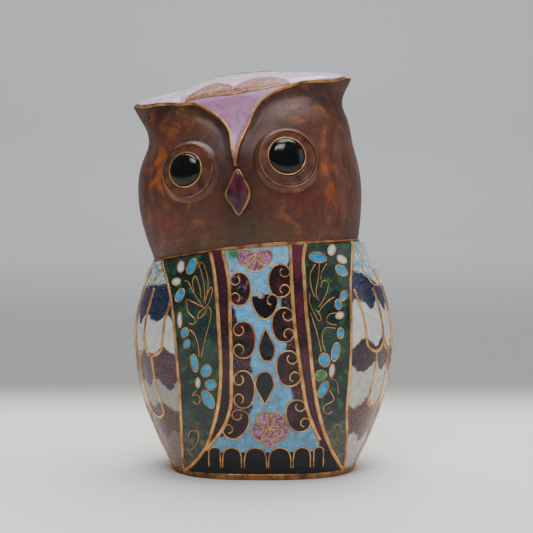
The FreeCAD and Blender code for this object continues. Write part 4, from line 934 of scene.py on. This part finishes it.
def leaf_tint(p, w):
    n, m = grain(p, 1.2, 6.0), grain(p, 2.8, 16.0)
    t = mix(lin(136, 78, 52), lin(164, 118, 96), 0.3 + 1.2 * n)
    return mix(t, lin(98, 58, 62), step_up(0.1, 0.45, m))


def beak_tint(p, w):
    return mix(lin(88, 30, 56), lin(44, 18, 32), 0.4 + 1.2 * grain(p, 0.8, 5.0))


def iris_tint(p, w):
    return mix(lin(100, 62, 48), lin(62, 40, 36), 0.4 + 1.2 * grain(p, 0.6, 5.0))


# piece: tint, speckle amount, speckle colour, roughness, pit amount
LOOKS = {
    "breast_enamel": (breast_tint, 0.22, (190, 208, 220), 0.3, 0.7),
    "scroll_enamel": (scroll_tint, 0.03, (150, 130, 140), 0.26, 0.4),
    "strap_enamel": (strap_tint, 0.06, (140, 110, 120), 0.28, 0.4),
    "heart_and_drop_enamel": (solid(16, 18, 26), 0.03, (90, 96, 110), 0.2, 0.3),
    "toe_enamel": (solid(17, 18, 24), 0.05, (96, 96, 104), 0.24, 0.4),
    "rosette_enamel": (rosette_tint, 0.3, (190, 168, 184), 0.32, 0.6),
    TURQ: (petal_tint(16, 128, 184, (62, 164, 202)), 0.06, (170, 210, 220), 0.28, 0.5),
    PALE: (petal_tint(206, 214, 216, (160, 176, 190)), 0.1, (240, 240, 240), 0.3, 0.5),
    LEAFY: (petal_tint(40, 112, 62, (92, 150, 104)), 0.15, (130, 170, 140), 0.3, 0.5),
    "flank_enamel_left": (flank_tint, 0.12, (110, 120, 108), 0.28, 0.5),
    "flank_enamel_right": (flank_tint, 0.12, (110, 120, 108), 0.28, 0.5),
    "back_enamel": (flank_tint, 0.12, (110, 120, 108), 0.28, 0.5),
    "tail_enamel": (tail_tint, 0.1, (150, 150, 150), 0.3, 0.5),
    "face_enamel": (face_tint, 0.08, (150, 92, 60), 0.42, 0.5),
    "nape_enamel": (face_tint, 0.12, (150, 100, 80), 0.34, 0.5),
    "crown_enamel": (crown_tint, 0.05, (226, 214, 228), 0.2, 0.3),
    "leaf_enamel": (leaf_tint, 0.2, (190, 160, 140), 0.36, 0.8),
    "beak_enamel": (beak_tint, 0.05, (130, 80, 100), 0.24, 0.3),
    "eye_iris_enamel_left": (iris_tint, 0.06, (130, 90, 70), 0.3, 0.3),
    "eye_iris_enamel_right": (iris_tint, 0.06, (130, 90, 70), 0.3, 0.3),
    "eye_pupil_left": (solid(7, 7, 9), 0.0, (40, 40, 44), 0.06, 0.0),
    "eye_pupil_right": (solid(7, 7, 9), 0.0, (40, 40, 44), 0.06, 0.0)}
for side in ("left", "right"):
    LOOKS[f"shoulder_enamel_{side}"] = (shoulder_tint, 0.25, (224, 230, 234), 0.3, 0.6)
    for row in ("upper", "lower"):
        LOOKS[f"{row}_feather_enamel_{side}"] = (wing_tint, 0.08, (210, 212, 214), 0.26, 0.6)


# ------------------------------------------------------------------ materials
def node_tree(name):
    mat = bpy.data.materials.new(name)
    mat.use_nodes = True
    nt = mat.node_tree
    nt.nodes.clear()
    out = nt.nodes.new("ShaderNodeOutputMaterial")
    bsdf = nt.nodes.new("ShaderNodeBsdfPrincipled")
    nt.links.new(bsdf.outputs[0], out.inputs[0])
    return mat, nt, bsdf


def add(nt, kind, inputs=None, **props):
    node = nt.nodes.new(kind)
    for key, value in props.items():
        setattr(node, key, value)
    for key, value in (inputs or {}).items():
        if isinstance(value, bpy.types.NodeSocket):
            nt.links.new(value, node.inputs[key])
        else:
            node.inputs[key].default_value = value
    return node


def mm_coords(nt, offset=0.0):
    """Object coordinates in millimetres."""
    tc = add(nt, "ShaderNodeTexCoord")
    return add(nt, "ShaderNodeMapping", {0: tc.outputs["Object"], 1: (offset, offset, -offset),
                                         3: (1000.0, 1000.0, 1000.0)}).outputs[0]


def noise_at(nt, coords, scale, detail=3.0, rough=0.55):
    return add(nt, "ShaderNodeTexNoise", {"Vector": coords, "Scale": scale, "Detail": detail,
                                          "Roughness": rough}).outputs[0]


def ramp(nt, value, low, high, a=0.0, b=1.0):
    return add(nt, "ShaderNodeMapRange", {0: value, 1: low, 2: high, 3: a, 4: b},
               interpolation_type="SMOOTHSTEP").outputs[0]


def blend(nt, fac, a, b, mode="MIX"):
    node = add(nt, "ShaderNodeMix", {}, data_type="RGBA", blend_type=mode)
    for key, value in ((0, fac), (6, a), (7, b)):
        if isinstance(value, bpy.types.NodeSocket):
            nt.links.new(value, node.inputs[key])
        else:
            node.inputs[key].default_value = value
    return node.outputs[2]


def math_node(nt, op, a, b):
    return add(nt, "ShaderNodeMath", {0: a, 1: b}, operation=op).outputs[0]


def enamel(name, specks, speck_colour, rough, pits):
    """Fired glass: the mesh's tint, cloudy mottling, specks, pits and a soft dark line of painted shade at
    the foot of the wires.
    """
    mat, nt, bsdf = node_tree(name)
    coords = mm_coords(nt)
    tint = add(nt, "ShaderNodeAttribute", attribute_name="tint").outputs["Color"]
    edge = add(nt, "ShaderNodeAttribute", attribute_name="edge").outputs["Fac"]
    cloud = noise_at(nt, coords, 0.8)
    fine = noise_at(nt, coords, 3.4, 4.0, 0.6)
    colour = blend(nt, 1.0, tint, add(nt, "ShaderNodeCombineColor", {
        0: ramp(nt, cloud, 0.3, 0.7, 0.82, 1.16), 1: ramp(nt, cloud, 0.3, 0.7, 0.84, 1.14),
        2: ramp(nt, cloud, 0.3, 0.7, 0.86, 1.12)}).outputs[0], "MULTIPLY")
    light = math_node(nt, "MULTIPLY", ramp(nt, fine, 0.54, 0.68), specks)
    colour = blend(nt, light, colour, (*lin(*speck_colour), 1))
    dark = math_node(nt, "MULTIPLY", ramp(nt, fine, 0.42, 0.3), specks * 0.8 + 0.06)
    colour = blend(nt, dark, colour, (0.012, 0.014, 0.02, 1))
    cell = add(nt, "ShaderNodeTexVoronoi", {"Vector": coords, "Scale": 1.15, "Randomness": 1.0})
    chosen = ramp(nt, noise_at(nt, coords, 0.6, 1.0), 0.5, 0.56)
    pit = math_node(nt, "MULTIPLY", ramp(nt, cell.outputs["Distance"], 0.12, 0.06), chosen)
    colour = blend(nt, math_node(nt, "MULTIPLY", pit, 0.75 * pits), colour, (0.015, 0.013, 0.014, 1))
    # Painted shade: a soft dark line where the enamel meets the wires, fading out within 0.16 mm of them.
    colour = blend(nt, ramp(nt, edge, 0.16, 0.0, 0.0, 0.55), colour, (0.02, 0.014, 0.012, 1))
    nt.links.new(colour, bsdf.inputs["Base Color"])
    gloss = math_node(nt, "ADD", ramp(nt, fine, 0.35, 0.7, rough - 0.05, rough + 0.14),
                      math_node(nt, "MULTIPLY", pit, 0.3))
    nt.links.new(gloss, bsdf.inputs["Roughness"])
    height = math_node(nt, "SUBTRACT", math_node(nt, "MULTIPLY", noise_at(nt, coords, 1.6, 4.0), 0.06),
                       math_node(nt, "MULTIPLY", pit, 0.08 * max(pits, 0.2)))
    bump = add(nt, "ShaderNodeBump", {"Strength": 0.55, "Distance": MM, "Height": height})
    nt.links.new(bump.outputs[0], bsdf.inputs["Normal"])
    bsdf.inputs["Specular IOR Level"].default_value = 0.22 if rough > 0.35 else 0.32
    bsdf.inputs["Coat Weight"].default_value = 0.03 if rough > 0.35 else 0.08
    bsdf.inputs["Coat Roughness"].default_value = 0.12
    return mat


def metal(name, bright, dull, rough, tarnish=0.5):
    """Gilt or bare metal, with broad tarnish and fine dark specks."""
    mat, nt, bsdf = node_tree(name)
    coords = mm_coords(nt, 3.0)
    broad, fine = noise_at(nt, coords, 0.45), noise_at(nt, coords, 3.0, 4.0)
    fac = math_node(nt, "MULTIPLY", ramp(nt, broad, 0.35, 0.7), tarnish)
    colour = blend(nt, fac, (*lin(*bright), 1), (*lin(*dull), 1))
    colour = blend(nt, ramp(nt, fine, 0.58, 0.74, 0.0, 0.6), colour, (*lin(*[v * 0.6 for v in dull]), 1))
    nt.links.new(colour, bsdf.inputs["Base Color"])
    nt.links.new(ramp(nt, fine, 0.3, 0.7, rough - 0.08, rough + 0.14), bsdf.inputs["Roughness"])
    bump = add(nt, "ShaderNodeBump", {"Strength": 0.4, "Distance": MM,
                                      "Height": math_node(nt, "MULTIPLY", fine, 0.05)})
    nt.links.new(bump.outputs[0], bsdf.inputs["Normal"])
    bsdf.inputs["Metallic"].default_value = 0.85
    return mat


GILT = metal("gilt_wire", (222, 168, 104), (132, 90, 58), 0.44, 0.8)
DULL_GILT = metal("worn_gilt", (176, 124, 76), (92, 64, 46), 0.46, 0.95)
BROWNED = metal("browned_ring", (150, 106, 72), (84, 56, 42), 0.5, 0.9)
COPPER = metal("bare_copper", (178, 104, 74), (96, 56, 44), 0.5, 0.7)

SLOTS = {m["node"]: m["material_slot"] for m in frame["record"]["subparts"]}
for name, (parts, faces, attributes) in sorted(MESHES.items()):
    verts = np.concatenate(parts)
    mesh = bpy.data.meshes.new(name + "_fired")
    mesh.from_pydata((verts * MM).tolist(), [], faces)
    mesh.validate()
    mesh.polygons.foreach_set("use_smooth", [True] * len(mesh.polygons))
    piece = bpy.data.objects.new(("fired_" if "enamel" in name else "laid_") + name, mesh)
    bpy.context.scene.collection.objects.link(piece)
    look = LOOKS.get(name) or ((face_tint, 0.1, (150, 100, 80), 0.34, 0.4) if "boss" in name else None)
    if look:
        tint, specks, speck_colour, rough, pits = look
        place = np.concatenate(attributes["place"])
        rgb = tint(verts, place)
        colours = mesh.color_attributes.new("tint", "FLOAT_COLOR", "POINT")
        rgba = np.concatenate([np.clip(rgb, 0, 1), np.ones((len(rgb), 1))], 1)
        colours.data.foreach_set("color", rgba.ravel())
        layer = mesh.attributes.new("edge", "FLOAT", "POINT")
        layer.data.foreach_set("value", np.concatenate(attributes["edge"]))
        mesh.materials.append(enamel("fired_" + name, specks, speck_colour, rough, pits))
    else:
        dull = name in ("brow_wires", "neck_band", "nape_wires", "crown_wires", "beak_wire", "foot_rim")
        mesh.materials.append(BROWNED if "eye_ring_outer" in name else DULL_GILT if dull else GILT)
    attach(piece, "root")
    if name in SLOTS:
        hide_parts(name)

for name, node in frame["nodes"].items():
    if name not in MESHES:
        node.data.materials.clear()
        node.data.materials.append(COPPER)

# ------------------------------------------------------------------ floor, light and camera
mat, nt, bsdf = node_tree("pale_floor")
along = add(nt, "ShaderNodeSeparateXYZ", {0: add(nt, "ShaderNodeTexCoord").outputs["Object"]}).outputs[1]
near = ramp(nt, along, 0.05, 0.13)
far = ramp(nt, along, 0.25, 0.9)
ground = blend(nt, near, (0.8, 0.79, 0.76, 1), blend(nt, far, (0.2, 0.2, 0.195, 1), (0.33, 0.335, 0.345, 1)))
nt.links.new(ground, bsdf.inputs["Base Color"])
bsdf.inputs["Roughness"].default_value = 0.8
rows = [(-3.0, 0.0), (0.5, 0.0), (0.9, 0.02), (1.15, 0.12), (1.25, 0.35), (1.28, 2.5)]
floor_mesh = bpy.data.meshes.new("sweep")
floor_mesh.from_pydata([(x, y, z) for y, z in rows for x in (-3.0, 3.0)], [],
                       [(2 * i, 2 * i + 1, 2 * i + 3, 2 * i + 2) for i in range(len(rows) - 1)])
floor_mesh.polygons.foreach_set("use_smooth", [True] * len(floor_mesh.polygons))
floor_mesh.materials.append(mat)
floor = bpy.data.objects.new("floor", floor_mesh)
bpy.context.scene.collection.objects.link(floor)


def lamp(name, at, target, size, power, colour=(1, 1, 1)):
    """A soft rectangular light."""
    data = bpy.data.lights.new(name, "AREA")
    data.shape, data.size, data.size_y = "RECTANGLE", size[0], size[1]
    data.energy, data.color = power, colour
    obj = bpy.data.objects.new(name, data)
    obj.location = at
    obj.rotation_euler = (Vector(target) - Vector(at)).to_track_quat("-Z", "Y").to_euler()
    bpy.context.scene.collection.objects.link(obj)
    return obj


lamp("window", (-0.05, -0.42, 0.62), (0, 0, 0.05), (0.36, 0.2), 2.6, (0.97, 0.98, 1.0))
lamp("overhead", (0.08, 0.1, 0.8), (0, 0.05, 0.0), (0.6, 0.6), 7.0)
lamp("side", (0.7, -0.15, 0.3), (0, 0, 0.04), (0.5, 0.5), 1.0, (1.0, 0.98, 0.95))
lamp("backdrop", (0.0, 0.7, 1.1), (0, 1.3, 0.3), (1.2, 0.4), 16.0)
world = bpy.data.worlds.new("room")
world.use_nodes = True
world.node_tree.nodes["Background"].inputs[0].default_value = (0.72, 0.74, 0.78, 1)
world.node_tree.nodes["Background"].inputs[1].default_value = 0.26
bpy.context.scene.world = world

LENS, SENSOR, NEAREST = 95.8, 36.0, 0.01
DISTANCE, HEIGHT, AIM_HEIGHT, SIDESTEP = 0.270, 0.050, 0.0383, 0.00057
data = bpy.data.cameras.new("camera")
data.lens, data.sensor_width, data.clip_start = LENS, SENSOR, NEAREST
camera = bpy.data.objects.new("camera", data)
camera.location = (SIDESTEP, -DISTANCE, HEIGHT)
aim = Vector((SIDESTEP, 0.0, AIM_HEIGHT))
camera.rotation_euler = (aim - camera.location).to_track_quat("-Z", "Y").to_euler()
bpy.context.scene.collection.objects.link(camera)
bpy.context.scene.camera = camera
